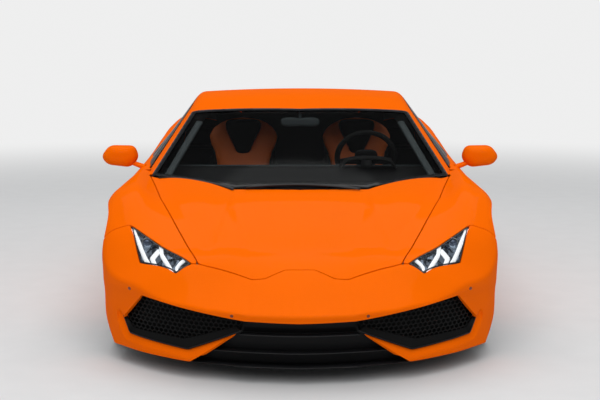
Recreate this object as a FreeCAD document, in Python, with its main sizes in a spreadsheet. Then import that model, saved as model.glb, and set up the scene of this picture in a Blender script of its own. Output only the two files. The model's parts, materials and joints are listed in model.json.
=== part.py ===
import FreeCAD, Part
import Sketcher
import math
import os

# A low mid-engined supercar, built as its separate panels, running gear and cabin pieces.
# X points to the car's left, Y rearwards and Z up. The origin is on the ground under the middle of the car.
# Sizes are in millimetres. Stations along the car are given as the distance behind the nose.

V = FreeCAD.Vector
doc = FreeCAD.newDocument("supercar")

# The driving dimensions
SIZES = [
    ("body_length", 4459),
    ("wheelbase", 2620),
    ("front_overhang", 930),
    ("half_width", 962),
    ("ground_clearance", 110),
    ("front_track", 1590),
    ("rear_track", 1600),
    ("front_tyre_width", 245),
    ("front_tyre_radius", 327.5),
    ("rear_tyre_width", 305),
    ("rear_tyre_radius", 345.5),
    ("rim_radius", 254),
    ("rim_wall", 12),
    ("spoke_width", 30),
    ("spoke_depth", 36),
    ("front_arch_radius", 362),
    ("rear_arch_radius", 374),
    ("arch_depth", 453),
    ("arch_neck_depth", 256),
    ("arch_neck_radius", 250),
    ("liner_wall", 4),
    ("shut_gap", 5),
    ("seat_gap", 0.3),
    ("skin", 26),
    ("door_depth", 162),
    ("glass_wall", 6),
    ("pillar_depth", 42),
    ("floor_wall", 40),
    ("bulkhead_wall", 30),
    ("sill_top", 205),
    ("disc_radius", 180),
    ("disc_wall", 34),
    ("axle_radius", 28),
    ("hub_radius", 72),
    ("steering_wheel_radius", 178),
    ("steering_wheel_grip", 15),
    ("seat_width", 450),
    ("seat_spread", 712),
    ("jack_pad_radius", 35),
    ("jack_pad_drop", 6),
    ("plate_hole_radius", 3.2),
    ("plate_hole_spacing", 340),
    ("exhaust_radius", 42),
    ("exhaust_wall", 4),
]

sheet = doc.addObject("Spreadsheet::Sheet", "sizes")
for row, (alias, value) in enumerate(SIZES, 1):
    sheet.set(f"A{row}", alias)
    sheet.set(f"B{row}", str(value))
    sheet.setAlias(f"B{row}", alias)
doc.recompute()


def size(alias):
    """A driving dimension as a plain number."""
    return float(getattr(sheet, alias))


GAP = size("shut_gap")
SEAT = size("seat_gap")
SKIN = size("skin")
LOW = size("ground_clearance")
LENGTH = size("body_length")
NOSE = -LENGTH / 2
TAIL = LENGTH / 2
HALF = size("half_width")
FRONT_AXLE = size("front_overhang")
REAR_AXLE = FRONT_AXLE + size("wheelbase")
DOOR_FRONT = FRONT_AXLE + 570
DOOR_REAR = REAR_AXLE - 800
SILL = size("sill_top")
DOOR_INNER = HALF - size("door_depth")
HINGE_X = HALF - 12
LIP_DROP = 30
REAR_ARCH_DEPTH = 402

# Cross-sections of the lower body. Each is a station and, down the left half, the centre height, then the
# inset from the half width and the height of the bonnet line, fender crown, shoulder, waist and rocker,
# and the inset and drop of the bottom edge.
LOWER = [
    (-80, 290, 512, 262, 402, 240, 202, 190, 62, 150, 82, 130, 102, LIP_DROP),
    (60, 358, 512, 300, 402, 275, 202, 205, 42, 160, 72, 130, 102, LIP_DROP),
    (200, 448, 512, 402, 402, 352, 202, 250, 32, 190, 62, 140, 102, LIP_DROP),
    (310, 487, 512, 496, 440, 490, 240, 388, 27, 250, 62, 150, 102, LIP_DROP),
    (450, 532, 466, 540, 332, 545, 202, 462, 32, 340, 52, 200, 102, LIP_DROP),
    (FRONT_AXLE - 330, 592, 399, 592, 197, 612, 129, 548, 27, 450, 34, 250, 102, LIP_DROP),
    (FRONT_AXLE - 150, 655, 323, 650, 162, 708, 57, 652, 17, 500, 32, 260, 102, 0),
    (FRONT_AXLE, 708, 279, 690, 162, 762, 40, 718, 7, 580, 26, 280, 102, 0),
    (FRONT_AXLE + 200, 745, 229, 725, 142, 778, 40, 730, 5, 580, 30, 265, 100, 0),
    (FRONT_AXLE + 370, 760, 191, 745, 125, 782, 42, 725, 8, 570, 35, 255, 97, 0),
    (DOOR_FRONT, 765, 197, 750, 117, 785, 50, 728, 15, 565, 44, 245, 97, 0),
    ((DOOR_FRONT + DOOR_REAR) / 2, 770, 200, 770, 112, 820, 70, 772, 32, 580, 42, 245, 94, 0),
    (DOOR_REAR, 790, 240, 815, 100, 862, 60, 800, 17, 600, 32, 260, 90, 0),
    (REAR_AXLE - 400, 800, 300, 860, 152, 935, 50, 832, 5, 620, 22, 280, 90, 0),
    (REAR_AXLE, 800, 320, 880, 172, 942, 47, 845, 0, 620, 12, 300, 90, 0),
    (REAR_AXLE + 400, 790, 360, 860, 187, 920, 62, 830, 7, 620, 32, 300, 102, 0),
    (LENGTH - 150, 780, 400, 840, 217, 885, 100, 800, 57, 620, 102, 300, 132, 0),
    (LENGTH + 60, 770, 420, 830, 242, 862, 122, 780, 82, 620, 132, 300, 162, 0),
]

# Plan outline of nose and tail: distance from the centreline, and in from the end of the car
NOSE_PLAN = [(0, 0), (300, 58), (500, 140), (700, 292), (800, 405), (880, 500), (925, 600), (968, 980)]
TAIL_PLAN = [(925, 262), (800, 98), (480, 20), (0, 0)]
# Undercut of nose and tail by height
END_TRIM = [(40, 80, 330), (88, 50, 270), (290, 8, 12), (325, 0, 6), (500, 0, 0), (620, 0, 18), (870, 0, 90), (1300, 0, 150)]

# Plan outlines of the cabin and rear deck by height: the station of the windscreen's centre, then distance
# out and station of its middle and pillar edge, of the front and rear of the side glass and of the rear
# pillar, and the distance out at the tail
CABIN = [
    (700, 936, 340, 966, 820, 1276, 905, 1650, 915, 2600, 850, 3200, 745),
    (1060, 1963, 330, 1990, 630, 2060, 665, 2300, 672, 2600, 600, 3200, 470),
    (1200, 2362, 310, 2390, 555, 2366, 566, 2450, 570, 2600, 500, 3200, 380),
]
# Roof line: station, height at the centre and at the roof's edge
ROOF = [
    (900, 1105, 1085),
    (1950, 1080, 1058),
    (2080, 1104, 1082),
    (2220, 1140, 1120),
    (2350, 1159, 1140),
    (2480, 1165, 1146),
    (2700, 1155, 1136),
    (2950, 1128, 1108),
    (3300, 1070, 1050),
    (3800, 972, 955),
    (4560, 826, 812),
]
ROOF_EDGE = 760


def between(table):
    """The table with one in-between row added to each step, on a cubic through the rows around it."""
    rows = []
    for n in range(len(table) - 1):
        a, b, c, d = (table[min(max(n + k, 0), len(table) - 1)] for k in (-1, 0, 1, 2))
        rows.append(b)
        middle = [(b[0] + c[0]) / 2]
        for k in range(1, len(b)):
            slope_b = (c[k] - a[k]) / (c[0] - a[0])
            slope_c = (d[k] - b[k]) / (d[0] - b[0])
            middle.append((b[k] + c[k]) / 2 + (slope_b - slope_c) * (c[0] - b[0]) / 8)
        rows.append(tuple(middle))
    return rows + [table[-1]]


def ring(half, place):
    """A closed wire of the half outline and its mirror image; place turns a pair into a point."""
    outline = list(half) + [(-x, other) for x, other in reversed(half) if x > 0.01]
    points = [place(x, other) for x, other in outline]
    return Part.makePolygon(points + [points[0]])


def both_halves(half):
    """The half plan and its mirror image as one outline."""
    return list(half) + [(-x, s) for x, s in reversed(half) if x > 0.01]


def lower_section(row, inset, drop):
    """One cross-section of the lower body, drawn in by inset, its bottom lowered by drop."""
    s, zc, xk, zk, xf, zf, xs, zs, xw, zw, xr, zr, xb, lip = row
    low = LOW - lip
    flare = (xb - xr) / (zr - low)
    half = [
        (0, zc - inset),
        (HALF - xk, zk - inset),
        (HALF - xf - 0.4 * inset, zf - inset),
        (HALF - xs - 0.9 * inset, zs - 0.7 * inset),
        (HALF - xw - inset, zw),
        (HALF - xr - inset, zr),
        (HALF - xb - inset - flare * drop, low - drop),
    ]
    return ring(half, lambda x, z: V(x, NOSE + s, z))


def end_trim(inset):
    """A solid with the car's plan outline, drawn in by inset at nose and tail."""
    wires = []
    for z, nose_in, tail_in in END_TRIM:
        half = [(x * (1 - inset / 900), d + nose_in * (1 - d / 1500) + inset) for x, d in NOSE_PLAN]
        half += [(1010, FRONT_AXLE + 250), (1010, REAR_AXLE + 250)]
        half += [(x * (1 - inset / 900), LENGTH - d - tail_in - inset) for x, d in TAIL_PLAN]
        wires.append(ring(half, lambda x, s: V(x, NOSE + s, z)))
    return Part.makeLoft(wires, True, True)


def lower_solid(inset, drop=0):
    """The lower body with its outer surface moved in by inset and its bottom moved down by drop."""
    loft = Part.makeLoft([lower_section(row, inset, drop) for row in between(LOWER)], True, True)
    return loft.common(end_trim(inset))


def cabin_outline(row, inset):
    z, s0, xm, sm, xp, sp, xg, sg, xh, sh, xr, sr, xt = row
    half = [
        (0, s0 + inset),
        (xm, sm + inset),
        (xp - 0.5 * inset, sp + 0.9 * inset),
        (xg - inset, sg),
        (xh - inset, sh),
        (xr - inset, sr),
        (xt - inset, LENGTH),
        (0, LENGTH + 140),
    ]
    return ring(half, lambda x, s: V(x, NOSE + s, z))


def roof_section(row, inset):
    """A slab under the crowned roof line, from below the belt up."""
    s, centre, edge = row
    y = NOSE + s
    low = centre - 1.6 * (centre - edge) - inset
    crown = Part.Arc(V(-ROOF_EDGE, y, low), V(0, y, centre - inset), V(ROOF_EDGE, y, low)).toShape()
    base = [(ROOF_EDGE, low), (1000, low - 200), (1000, 500), (-1000, 500), (-1000, low - 200), (-ROOF_EDGE, low)]
    return Part.Wire([crown] + Part.makePolygon([V(x, y, z) for x, z in base]).Edges)


def cabin_solid(inset):
    """The cabin and rear deck above the belt, with its outer surface moved in by inset."""
    walls = Part.makeLoft([cabin_outline(row, inset) for row in CABIN], True, True)
    roof = Part.makeLoft([roof_section(row, inset) for row in ROOF], True, True)
    return walls.common(roof).common(end_trim(inset))


def offset_outline(points, gap):
    """An outline moved outwards by gap, corner by corner."""
    area = sum(a[0] * b[1] - b[0] * a[1] for a, b in zip(points, points[1:] + points[:1]))
    turn = 1 if area > 0 else -1
    moved = []
    for n, p in enumerate(points):
        normals = []
        for a, b in ((points[n - 1], p), (p, points[(n + 1) % len(points)])):
            dx, dy = b[0] - a[0], b[1] - a[1]
            length = math.hypot(dx, dy)
            normals.append((turn * dy / length, -turn * dx / length))
        nx, ny = normals[0][0] + normals[1][0], normals[0][1] + normals[1][1]
        scale = 2 * gap / (nx * nx + ny * ny)
        moved.append((p[0] + nx * scale, p[1] + ny * scale))
    return moved


def plan_prism(outline, lean=0, low=-50, high=1500):
    """A prism over a plan outline of distance out and station, leaning rearwards by lean per unit of height."""
    points = [V(x, NOSE + s + lean * low, low) for x, s in outline]
    return Part.Face(Part.makePolygon(points + [points[0]])).extrude(V(0, lean * (high - low), high - low))


def side_prism(outline, low, high):
    """A prism along X over a side outline of station and height."""
    points = [V(low, NOSE + s, z) for s, z in outline]
    return Part.Face(Part.makePolygon(points + [points[0]])).extrude(V(high - low, 0, 0))


def front_prism(outline, front, rear):
    """A prism along Y over a front outline of distance out and height, between two stations."""
    points = [V(x, NOSE + front, z) for x, z in outline]
    return Part.Face(Part.makePolygon(points + [points[0]])).extrude(V(0, rear - front, 0))


def block(x0, x1, s0, s1, z0, z1):
    """A block between two distances out, two stations and two heights."""
    return Part.makeBox(x1 - x0, s1 - s0, z1 - z0, V(x0, NOSE + s0, z0))


def rod(radius, start, end):
    """A round bar between two points of distance out, station and height."""
    a = V(start[0], NOSE + start[1], start[2])
    b = V(end[0], NOSE + end[1], end[2])
    return Part.makeCylinder(radius, (b - a).Length, a, b - a)


def mirrored(shape):
    """The same shape on the car's other side."""
    return shape.mirror(V(0, 0, 0), V(1, 0, 0))


def both(shape):
    """A shape and its mirror image."""
    return Part.makeCompound([shape, mirrored(shape)])


def fused(shapes):
    return shapes[0].multiFuse(shapes[1:]).removeSplitter()


def clean(shape, least=4000):
    """The shape's solids, without slivers left by trimming."""
    kept = [s for s in shape.Solids if s.Volume > least]
    return kept[0] if len(kept) == 1 else Part.makeCompound(kept)


PARTS = {}


def piece(label, shape, place=None):
    """Adds a finished shape to the document under its own label."""
    feature = doc.addObject("Part::Feature", label)
    feature.Shape = clean(shape)
    feature.Placement = place or FreeCAD.Placement()
    PARTS[label] = feature
    return feature


def turned(label, profile, place):
    """A ring turned about the X axis. Each corner of its profile is a distance along and one out from the
    axis, and each of these is the name of a size, the share of it that is taken and what is added."""
    body = doc.addObject("PartDesign::Body", label)
    sketch = body.newObject("Sketcher::SketchObject", label + "_profile")
    plane = [f for f in body.Origin.OriginFeatures if f.Role == "XZ_Plane"][0]
    sketch.AttachmentSupport = [(plane, "")]
    sketch.MapMode = "FlatFace"
    corners = [[size(alias) * share + more for alias, share, more in corner] for corner in profile]
    for k, (x, z) in enumerate(corners):
        end = corners[(k + 1) % len(corners)]
        sketch.addGeometry(Part.LineSegment(V(x, z, 0), V(end[0], end[1], 0)), False)
    for k in range(len(corners)):
        sketch.addConstraint(Sketcher.Constraint("Coincident", k, 2, (k + 1) % len(corners), 1))
    for k, corner in enumerate(profile):
        for axis, (alias, share, more), value in zip("XY", corner, corners[k]):
            number = sketch.addConstraint(Sketcher.Constraint(f"Distance{axis}", -1, 1, k, 1, value))
            sketch.renameConstraint(number, f"{axis.lower()}{k}")
            sketch.setExpression(f"Constraints.{axis.lower()}{k}", f"sizes.{alias} * {share} + {more}")
    turn = body.newObject("PartDesign::Revolution", label + "_turn")
    turn.Profile = sketch
    turn.ReferenceAxis = (sketch, ["H_Axis"])
    doc.recompute()
    body.Placement = place
    PARTS[label] = body
    return body


# Master surfaces and the shells between them
outer = lower_solid(0)
lower_room = lower_solid(SKIN, 30)
shell = outer.cut(lower_room)
above = cabin_solid(0).cut(outer)
deck_room = cabin_solid(size("pillar_depth"))
cabin_shell = above.cut(deck_room)
cabin_room = cabin_solid(size("glass_wall"))
glass_shell = above.cut(cabin_room)


# Wheel arches: station of the axle, radius of tyre and arch, and where the arch starts to narrow inwards and
# ends, as a depth from the car's side, with its radius at the inner end
AXLES = {
    "front": (FRONT_AXLE, size("front_tyre_radius"), size("front_arch_radius")),
    "rear": (REAR_AXLE, size("rear_tyre_radius"), size("rear_arch_radius")),
}
NECKS = {
    "front": (size("arch_neck_depth"), size("arch_depth"), size("arch_neck_radius")),
    "rear": (REAR_ARCH_DEPTH - 40, REAR_ARCH_DEPTH, size("rear_arch_radius") - 10),
}


def arch_solid(end, wall):
    """The round room of a wheel arch on the left, drawn in by wall. The front one narrows inwards as far as
    the tyre at full lock allows."""
    axle, tyre_radius, radius = AXLES[end]
    full_depth, depth, neck = NECKS[end]
    drum = Part.makeCylinder(radius - wall, full_depth + 60, V(HALF - full_depth, NOSE + axle, tyre_radius), V(1, 0, 0))
    cone = Part.makeCone(neck - wall, radius - wall, depth - full_depth, V(HALF - depth, NOSE + axle, tyre_radius),
                         V(1, 0, 0))
    return drum.fuse(cone)


def arch_cut(end):
    """The wheel arch on the left, open at the bottom."""
    axle, tyre_radius, radius = AXLES[end]
    inner = HALF - NECKS[end][1]
    return arch_solid(end, 0).fuse(block(inner, HALF + 60, axle - radius, axle + radius, 0, tyre_radius))


front_arch = arch_cut("front")
rear_arch = arch_cut("rear")

# Bonnet: its outline on the surface, and the height there, so that the leaning shut faces meet the outline
BONNET_LEAN = -0.27
BONNET = [(0, 268, 470), (66, 268, 470), (150, 216, 450), (205, 214, 450), (450, 306, 492), (563, 600, 592),
          (683, 930, 690), (786, 1378, 752), (340, 1052, 752), (0, 1030, 757)]
bonnet_plan = both_halves([(x, s - BONNET_LEAN * z) for x, s, z in BONNET])
bonnet_cut = plan_prism(offset_outline(bonnet_plan, GAP / 2), BONNET_LEAN, 340)
piece("bonnet", shell.common(plan_prism(offset_outline(bonnet_plan, -GAP / 2), BONNET_LEAN, 340)))

# Headlamps, let into the front corners
LAMP = [(478, 306), (545, 285), (724, 436), (790, 622)]
lamps_cut = both(plan_prism(offset_outline(LAMP, SEAT / 2), 0, 380))
lamp = shell.common(plan_prism(offset_outline(LAMP, -SEAT / 2), 0, 380)).cut(bonnet_cut).cut(front_arch)
piece("headlamps", both(clean(lamp)))

# Front bumper with its side intakes and centre intake, seen from the front
INTAKE = [(236, 292), (700, 352), (800, 228), (770, 160), (488, 142), (262, 240)]
CENTRE = [(0, 287), (244, 287), (236, 240), (455, 96), (455, 0), (0, 0)]
BUMPER = [(0, -100), (1050, -100), (1050, 655), (790, 622), (478, 306), (445, 300), (0, 300)]
bumper = shell.common(plan_prism(both_halves(BUMPER)))
for hollow in (bonnet_cut, lamps_cut, both(front_arch), both(front_prism(INTAKE, -100, 520)),
               front_prism(both_halves(CENTRE), -100, 300)):
    bumper = bumper.cut(hollow)
piece("front_bumper", bumper)

# Front wings, from the seam at the lamps to the doors
WING = [(440, 307), (478, 309), (790, 625), (1050, 658), (1050, DOOR_FRONT), (792, DOOR_FRONT), (792, 1376), (600, 850)]
wing = shell.common(plan_prism(WING)).cut(bonnet_cut).cut(lamps_cut).cut(front_arch)
piece("front_wings", both(clean(wing)))

# Honeycomb in the side intakes, following the slant of the nose
MESH_PITCH = 36
MESH_WEB = 6
MESH_DEPTH = 12
MESH_SET_BACK = 34


def slanted_slab(set_back, wall):
    """A slab of the given wall that follows the nose's plan outline, set back from it."""
    front = [(x, s + set_back) for x, s in NOSE_PLAN[:-1]]
    rear = [(x, s + wall) for x, s in reversed(front)]
    return plan_prism(front + rear)


def honeycomb(outline, pitch, web):
    """A front-view face of the outline with six-sided holes."""
    edge = offset_outline(outline, -web)
    plate = Part.Face(Part.makePolygon([V(x, 0, z) for x, z in outline + outline[:1]]))
    field = Part.Face(Part.makePolygon([V(x, 0, z) for x, z in edge + edge[:1]]))
    radius = (pitch - web) / math.sqrt(3)
    cells = []
    left, right = min(x for x, z in outline), max(x for x, z in outline)
    low, high = min(z for x, z in outline), max(z for x, z in outline)
    rows = int((high - low) / (pitch * 0.866)) + 1
    columns = int((right - left) / pitch) + 1
    for row in range(rows + 1):
        for column in range(columns + 1):
            x = left + (column + 0.5 * (row % 2)) * pitch
            z = low + row * pitch * math.sqrt(3) / 2
            corners = [V(x + radius * math.sin(math.pi * k / 3), 0, z + radius * math.cos(math.pi * k / 3))
                       for k in range(7)]
            cells.append(Part.Face(Part.makePolygon(corners)))
    return plate.cut(field.common(Part.makeCompound(cells)))


mesh = honeycomb(offset_outline(INTAKE, -SEAT), MESH_PITCH, MESH_WEB)
mesh.translate(V(0, NOSE, 0))
mesh = mesh.extrude(V(0, 520, 0)).common(slanted_slab(MESH_SET_BACK, MESH_DEPTH))
SPLITTER_LOW = 76
SPLITTER_TOP = LOW - LIP_DROP + 0.5
panel_foot = SPLITTER_TOP + SEAT
CENTRE_PANEL = both_halves([(0, 286), (243, 286), (235, 240), (440, 112), (440, panel_foot), (0, panel_foot)])
centre_panel = front_prism(CENTRE_PANEL, 215, 227)
slat = block(-300, 300, 150, 215, 196, 202).common(front_prism(both_halves(CENTRE), 0, 300))
piece("front_grilles", Part.makeCompound([clean(mesh), mirrored(clean(mesh)), fused([centre_panel, slat])]))

# Splitter under the nose
SPLITTER = [(0, 75), (240, 100), (470, 190), (700, 330), (820, 540), (560, 540), (520, 620), (0, 620)]
piece("front_splitter", plan_prism(both_halves(SPLITTER), 0, SPLITTER_LOW, SPLITTER_TOP).cut(outer))

# Radiators behind the side meshes
radiator = plan_prism([(330, 260), (700, 470), (668, 520), (300, 310)], 0, 150, 330)
piece("radiators", both(radiator.cut(front_arch)))

# Windscreen, with its base strip in front of it
WINDSCREEN = both_halves([(0, 960), (338, 985), (700, 1180), (788, 1395), (624, 2052), (0, 2003)])
screen_cut = plan_prism(offset_outline(WINDSCREEN, 1))
SCREEN_FOOT_GAP = 14
foot_cut = plan_prism(offset_outline(bonnet_plan, SCREEN_FOOT_GAP), BONNET_LEAN, 340)
piece("windscreen", glass_shell.common(plan_prism(WINDSCREEN)).cut(foot_cut))
COWL = [(0, 1044), (340, 1066), (700, 1322), (780, 1388), (780, 1425), (700, 1385), (340, 1190), (0, 1160)]
piece("cowl", shell.common(plan_prism(both_halves(COWL))).cut(bonnet_cut))

# Doors: the front shut face is flat, the rear one is round about the hinge
hinge = V(HINGE_X, NOSE + DOOR_FRONT, 0)
door_swing = Part.makeCylinder(DOOR_REAR - DOOR_FRONT, 1500, hinge)
door_sweep = Part.makeCylinder(DOOR_REAR - DOOR_FRONT + GAP, 1500, hinge)
door_space = block(DOOR_INNER, 1100, DOOR_FRONT, DOOR_REAR + 60, SILL - GAP, 1300).common(door_sweep)
door = outer.common(block(DOOR_INNER, 1100, DOOR_FRONT + GAP, DOOR_REAR + 60, SILL, 900)).common(door_swing)

# Side window outline: station and height
WINDOW = [(1545, 770), (2172, 1062), (2330, 1108), (2520, 1120), (2760, 1108), (2760, 700), (1545, 700)]
window = side_prism(WINDOW, 420, 1100).common(door_swing)
window_cut = side_prism(offset_outline(WINDOW, GAP), 420, 1100)
door_glass = glass_shell.common(window)

# Cabin frame: windscreen pillars, roof and the rear deck with its sloping sides
ROOF_REAR = 2905
ROOF_SPLIT = 1080
frame = cabin_shell.cut(screen_cut)
front_side = block(420, 1100, 900, 2052, 650, 1300)
over_door = outer.common(block(DOOR_INNER, 1100, DOOR_FRONT, DOOR_REAR, 600, 900))
over_door.translate(V(0, 0, GAP))
pillar = frame.common(front_side).cut(window_cut).cut(over_door)
piece("windscreen_pillars", both(clean(pillar, 100000)))
roof = frame.common(block(-900, 900, 1990, ROOF_REAR, 1000, 1300))
roof = roof.cut(block(-900, 900, 2760, ROOF_REAR + 10, 900, ROOF_SPLIT))
for hollow in (both(front_side), both(window_cut)):
    roof = roof.cut(hollow)
piece("roof", roof)

COVER_LEAN = 0.19
COVER = [(0, ROOF_REAR + 20, 1130), (400, ROOF_REAR + 20, 1115), (455, 3400, 1030), (420, 4180, 885), (0, 4230, 880)]
cover_plan = both_halves([(x, s - COVER_LEAN * z) for x, s, z in COVER])
cover_cut = plan_prism(offset_outline(cover_plan, GAP / 2), COVER_LEAN, 600)
cover = frame.common(plan_prism(offset_outline(cover_plan, -GAP / 2), COVER_LEAN, 600))
SLOT_PITCH = 150
SLOT_LENGTH = 70
SLOTS = 5
for k in range(SLOTS):
    slot_front = 3140 + k * SLOT_PITCH
    cover = cover.cut(block(-330, 330, slot_front, slot_front + SLOT_LENGTH, 700, 1300))
piece("engine_cover", cover)

DECK_FRONT = 2735
deck = frame.common(block(-1100, 1100, DECK_FRONT, LENGTH + 50, 600, 1300)).cut(cover_cut)
deck = deck.cut(block(-900, 900, DECK_FRONT - 10, ROOF_REAR + SEAT, ROOF_SPLIT - SEAT, 1300))
deck = deck.cut(both(door_sweep.common(block(300, 1100, DECK_FRONT - 10, DOOR_REAR + 200, 600, 1300))))
piece("rear_deck", deck)

# Rear side panels over the rear wheels, with the air intake behind the door
QUARTER_REAR = LENGTH - 262
QUARTER_INNER = 560
SIDE_INTAKE = [(2850, 430), (2985, 480), (2985, 740), (2900, 760), (2800, 560)]
quarter = shell.common(block(QUARTER_INNER, 1100, DECK_FRONT, QUARTER_REAR, 0, 1200))
quarter = quarter.cut(door_space).cut(rear_arch).cut(block(QUARTER_INNER, 1100, DECK_FRONT - 10, DOOR_REAR, 0, SILL))
quarter = quarter.cut(side_prism(SIDE_INTAKE, 850, 1100)).cut(block(QUARTER_INNER, 700, DECK_FRONT - 10, 2900, 0, 1200))
piece("quarter_panels", both(clean(quarter)))

# Sills under the doors, each with the boss that the door's front corner rests on
sill = shell.common(block(600, 1100, DOOR_FRONT + SEAT, DOOR_REAR - SEAT, 0, SILL - GAP))
boss = Part.makeCylinder(9, GAP - SEAT + 20, V(HALF - 75, NOSE + DOOR_FRONT + 30, SILL - GAP - 20))
piece("sills", both(clean(fused([sill, boss]))))

# Rear bumper with the lamp and diffuser openings and a flat seat for the plate
DIFFUSER_OPENING = both_halves([(0, 0), (520, 0), (500, 330), (0, 345)])
REAR_OPENING = both_halves([(0, 628), (742, 628), (838, 716), (806, 772), (0, 772)])
REAR_LAMP = [(470, 668), (748, 660), (818, 716), (788, 752), (470, 740)]
REAR_MESH_SET_BACK = 30
REAR_MESH_DEPTH = 12
REAR_MESH_PITCH = 58
PLATE = both_halves([(0, 462), (270, 462), (270, 582), (0, 582)])
PLATE_HEIGHT = 522
PLATE_FACE = LENGTH - 14
bumper = shell.common(block(-1100, 1100, QUARTER_REAR + SEAT, LENGTH + 50, 0, 1000)).cut(both(rear_arch))
bumper = bumper.cut(front_prism(DIFFUSER_OPENING, QUARTER_REAR - 50, LENGTH + 50))
bumper = bumper.cut(front_prism(REAR_OPENING, LENGTH - 200, LENGTH + 50))
bumper = bumper.cut(front_prism(PLATE, LENGTH - 60, LENGTH + 50))
bumper = fused([bumper, front_prism(PLATE, LENGTH - 34, PLATE_FACE)])
for side in (-1, 1):
    x = side * size("plate_hole_spacing") / 2
    bumper = bumper.cut(rod(size("plate_hole_radius"), (x, LENGTH - 80, PLATE_HEIGHT), (x, LENGTH, PLATE_HEIGHT)))
piece("rear_bumper", bumper)


def tail_band(start, end):
    """The layer behind the car's tail outline between two depths."""
    rear_half = block(-1100, 1100, REAR_AXLE, LENGTH + 50, 300, 1200)
    return end_trim(start).cut(end_trim(end)).common(rear_half)


rear_mesh = honeycomb(offset_outline(REAR_OPENING, -SEAT), REAR_MESH_PITCH, MESH_WEB)
rear_mesh.translate(V(0, NOSE + LENGTH - 200, 0))
rear_mesh = rear_mesh.extrude(V(0, 250, 0)).common(tail_band(REAR_MESH_SET_BACK, REAR_MESH_SET_BACK + REAR_MESH_DEPTH))
piece("rear_grille", rear_mesh)
tail_lamp = front_prism(REAR_LAMP, LENGTH - 200, LENGTH + 50).common(tail_band(4, REAR_MESH_SET_BACK - SEAT))
piece("tail_lamps", both(clean(tail_lamp)))

# Diffuser: a rising plate with upright fins
FIN_WALL = 8
FINS = 4
FIN_PITCH = 250
DIFFUSER_HALF = 470
DIFFUSER_FRONT = 3960
DIFFUSER_SIDE = [(DIFFUSER_FRONT, LOW), (DIFFUSER_FRONT, LOW + 14), (4360, 192), (4380, 192), (4380, 178), (3990, LOW)]
FIN_SIDE = [(3990, LOW), (4375, 179), (4375, 130), (4300, LOW)]
diffuser = [side_prism(DIFFUSER_SIDE, -DIFFUSER_HALF, DIFFUSER_HALF)]
for k in range(FINS):
    x = (k - (FINS - 1) / 2) * FIN_PITCH
    diffuser.append(side_prism(FIN_SIDE, x - FIN_WALL / 2, x + FIN_WALL / 2))
piece("diffuser", fused(diffuser))


def bar(label, across, along, up):
    """A Part::Box; each direction is a pair of expressions for its start and its length."""
    part = doc.addObject("Part::Box", label)
    for place, extent, (start, length) in zip("xyz", ("Length", "Width", "Height"), (across, along, up)):
        part.setExpression(extent, length)
        part.setExpression(f"Placement.Base.{place}", start)
    return part


def joined(label, pieces):
    """A Part::MultiFuse of document objects, as one sub-part."""
    fuse = doc.addObject("Part::MultiFuse", label)
    fuse.Shapes = pieces
    doc.recompute()
    PARTS[label] = fuse
    return fuse


# Floor tub: floor, box sills, tunnel, bulkheads, luggage box, rails and jack pads
FLOOR = "sizes.ground_clearance"
FLOOR_TOP = "sizes.ground_clearance + sizes.floor_wall"
TUB_HALF = "sizes.half_width - 97 - sizes.skin - sizes.seat_gap"
TUNNEL_HALF = 90
BULKHEAD_HALF = 780
LUGGAGE_FRONT = 480
LUGGAGE_HALF = 420
LUGGAGE_WALL = 12
RAIL_X = 330
RAIL_WIDTH = 60
RAIL_LOW = 170
RAIL_TOP = RAIL_LOW + RAIL_WIDTH
RAIL_REAR = 4190
ARM_PLATE_X = 350
ARM_PLATE_WALL = 20
UPPER_WALL_HALF = 540
SILL_BOX = 114


def along(start):
    """The Y of a station, as an expression."""
    return f"{start} - sizes.body_length / 2"


TUB_START = "sizes.front_overhang + 380"
TUB_REAR = "sizes.front_overhang + sizes.wheelbase - 410"
BULKHEAD = "sizes.front_overhang + sizes.wheelbase - 680"
TO_DASH = f"{TUB_START} - {LUGGAGE_FRONT}"
tub = [
    bar("tub_floor", (f"-({TUB_HALF})", f"2 * ({TUB_HALF})"), (along(TUB_START), f"{TUB_REAR} - ({TUB_START})"),
        (FLOOR, "sizes.floor_wall")),
    bar("tub_tunnel", (f"-{TUNNEL_HALF}", f"2 * {TUNNEL_HALF}"), (along(TUB_START), f"{BULKHEAD} - ({TUB_START})"),
        (FLOOR, "220")),
    bar("tub_dash_wall", (f"-{BULKHEAD_HALF}", f"2 * {BULKHEAD_HALF}"), (along(TUB_START), "sizes.bulkhead_wall"),
        (FLOOR, "580")),
    bar("tub_rear_wall", (f"-{BULKHEAD_HALF}", f"2 * {BULKHEAD_HALF}"), (along(BULKHEAD), "sizes.bulkhead_wall"),
        (FLOOR, "650")),
    bar("tub_upper_wall", (f"-{UPPER_WALL_HALF}", f"2 * {UPPER_WALL_HALF}"), (along(BULKHEAD), "sizes.bulkhead_wall"),
        (f"{FLOOR} + 640", "240")),
    bar("tub_undertray", (f"-{DIFFUSER_HALF}", f"2 * {DIFFUSER_HALF}"),
        (along(TUB_REAR), f"{DIFFUSER_FRONT} - sizes.seat_gap - ({TUB_REAR})"), (FLOOR, "14")),
    bar("luggage_floor", (f"-{LUGGAGE_HALF}", f"2 * {LUGGAGE_HALF}"), (along(LUGGAGE_FRONT), TO_DASH),
        (FLOOR_TOP, f"{LUGGAGE_WALL}")),
    bar("luggage_front", (f"-{LUGGAGE_HALF}", f"2 * {LUGGAGE_HALF}"), (along(LUGGAGE_FRONT), f"{LUGGAGE_WALL}"),
        (FLOOR_TOP, "270")),
    bar("rear_cross_rail", ("-600", "1200"), (along(RAIL_REAR - 40), "40"), (f"{RAIL_LOW}", f"{RAIL_WIDTH}")),
]
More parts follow.
